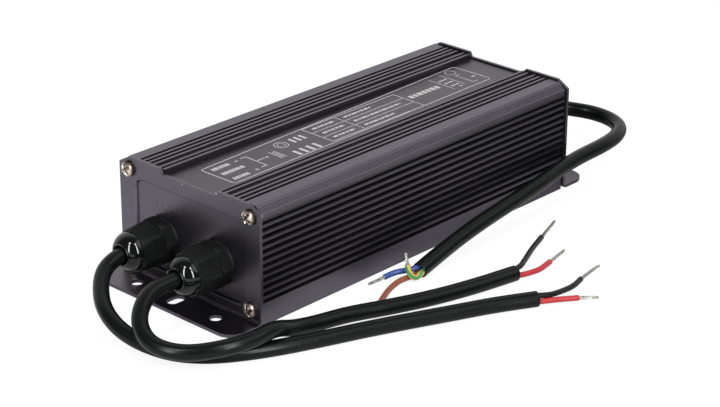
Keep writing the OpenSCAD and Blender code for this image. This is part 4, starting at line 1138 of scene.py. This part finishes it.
def make_floor():
    """White paper. The part's metal mirrors it grey, and darker past the mains end, where shade is
    painted on the floor for all but camera rays.
    """
    mesh = bpy.data.meshes.new("floor")
    r, z = FLOOR_HALF, FLOOR_Z
    mesh.from_pydata([(-r, -r, z), (r, -r, z), (r, r, z), (-r, r, z)], [], [(0, 1, 2, 3)])
    material = bpy.data.materials.new("pale_floor")
    material.use_nodes = True
    net = Net(material.node_tree)
    shader = net.tree.nodes["Principled BSDF"]
    shader.inputs["Roughness"].default_value = 0.9
    shader.inputs["Specular IOR Level"].default_value = 0.2
    paper = net.add("ShaderNodeTexNoise", {}, {"Scale": 6.0})
    seen = net.add("ShaderNodeLightPath", out="Is Camera Ray")
    x, _, _ = net.parts(net.add("ShaderNodeTexCoord", out=3))
    tone = net.colour_mix(paper, grey(0.6), grey(0.62))
    # Painted shade: past the mains end the floor turns dark grey, which only the metal's reflections
    # show
    tone = net.colour_mix(net.ease(x, *FLOOR_SHADE_X), tone, grey(0.25))
    tone = net.colour_mix(seen, tone, grey(FLOOR_SEEN))
    net.feed(shader.inputs["Base Color"], tone)
    glow = net.add("ShaderNodeEmission", {}, {"Color": grey(1), "Strength": 1.0})
    floor_shader = Value(net, shader.outputs[0])
    both = net.add("ShaderNodeMixShader", {}, {0: seen * FLOOR_GLOW, 1: floor_shader, 2: glow})
    net.feed(net.tree.nodes["Material Output"].inputs[0], both)
    mesh.materials.append(material)
    floor = new_object("floor", mesh)


def make_sky():
    """White behind the part, as the photograph's backdrop, and a dim room behind the camera, with a
    soft panel high up at the photographed side."""
    world = bpy.data.worlds.new("studio")
    world.use_nodes = True
    bpy.context.scene.world = world
    net = Net(world.node_tree)
    way = net.add("ShaderNodeTexCoord", out=0)
    away = net.vector("DOT_PRODUCT", way, BACKDROP_WAY, out=1)
    room = net.ease(away, 0.05, 0.6, ROOM_LEVEL, 1.0)
    panel = net.vector("DOT_PRODUCT", way, SOFT_PANEL_WAY, out=1)
    room = room + net.ease(panel, 0.88, 0.98, 0.0, SOFT_PANEL_LEVEL)
    seen = net.add("ShaderNodeLightPath", out="Is Camera Ray")
    level = seen + room * (1.0 - seen)
    ground = net.tree.nodes["Background"]
    ground.inputs["Color"].default_value = grey(1)
    net.feed(ground.inputs["Strength"], level)


def make_lamp(name, place, aim, size, watts, mirrored=True):
    data = bpy.data.lights.new(name, "AREA")
    data.shape = "RECTANGLE"
    data.size, data.size_y = size
    data.energy = watts
    lamp = new_object(name, data)
    lamp.location = place
    lamp.rotation_mode = "QUATERNION"
    lamp.rotation_quaternion = (Vector(aim) - Vector(place)).to_track_quat("-Z", "Y")
    lamp.visible_glossy = mirrored


def make_strips():
    """Two tall narrow softboxes, each in two lengths: one before the front end, one at the side."""
    glands = Vector((-0.097, 0.0, 0.022))
    for name, azimuth in (("end_strip", -80), ("side_strip", -13)):
        for part, low, high in (("low", 4, 44), ("high", 49, 62)):
            way = bearing(math.radians(azimuth), math.radians((low + high) / 2))
            tall = 2 * STRIP_AWAY * math.tan(math.radians((high - low) / 2))
            watts = STRIP_WATTS_PER_AREA * STRIP_WIDE * tall
            place = glands + STRIP_AWAY * way
            make_lamp(name + "_" + part, place, glands, (STRIP_WIDE, tall), watts)


def main():
    set_up_camera()
    bpy.context.scene.view_settings.view_transform = "Standard"
    finish = make_finishes()
    cords, lines, wire_lines = make_cables(finish)
    bare = {}
    for seed, side in enumerate(("left", "right", "mains"), 1):
        wires = [w for w in WIRES if w.startswith(side)]
        bare[side] = make_bare_ends(side + "_bare_strands", wires, wire_lines, finish, seed)
        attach(bare[side], "root")
        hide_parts(side + "_tinned_ends")
    for name, piece in cords.items():
        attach(piece, "root")
        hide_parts(name)
        "cable_jacket" if name in CABLES else wire_finish(name)
    for name in CABLES:
        side = name.split("_")[0]
        line = lines[name]
        wires = [cords[w] for w in WIRES if w.startswith(side) and w not in LONG_WIRES]
        end = 1 if side == "mains" else -1
        mouth = (end * MOUTH_X, float(line[0][1]), GLAND_Z)
        2 * (MAINS_R if side == "mains" else OUTPUT_R)
        wires + [bare[side]]
    for name in LONG_WIRES:
        line = wire_lines[name]
    for piece in make_glands(finish):
        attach(piece, "root")
    blank = screw_blank(finish["screw_steel"])
    for name, end, turns in (("front", -1, (20, 60, 5, 35)), ("rear", 1, (50, 10, 75, 30))):
        piece = make_end_screws(name + "_pan_screws", end, turns, blank, finish)
        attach(piece, "root")
        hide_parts(name + "_screws")
    bpy.data.objects.remove(blank)
    label = make_label_print(finish)
    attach(label, "root")
    finish_nodes(finish)
    make_floor()
    make_sky()
    make_lamp("overhead", (-0.1, -0.1, 0.9), (0, 0, 0), (0.7, 0.5), OVERHEAD_WATTS, False)
    make_strips()


main()
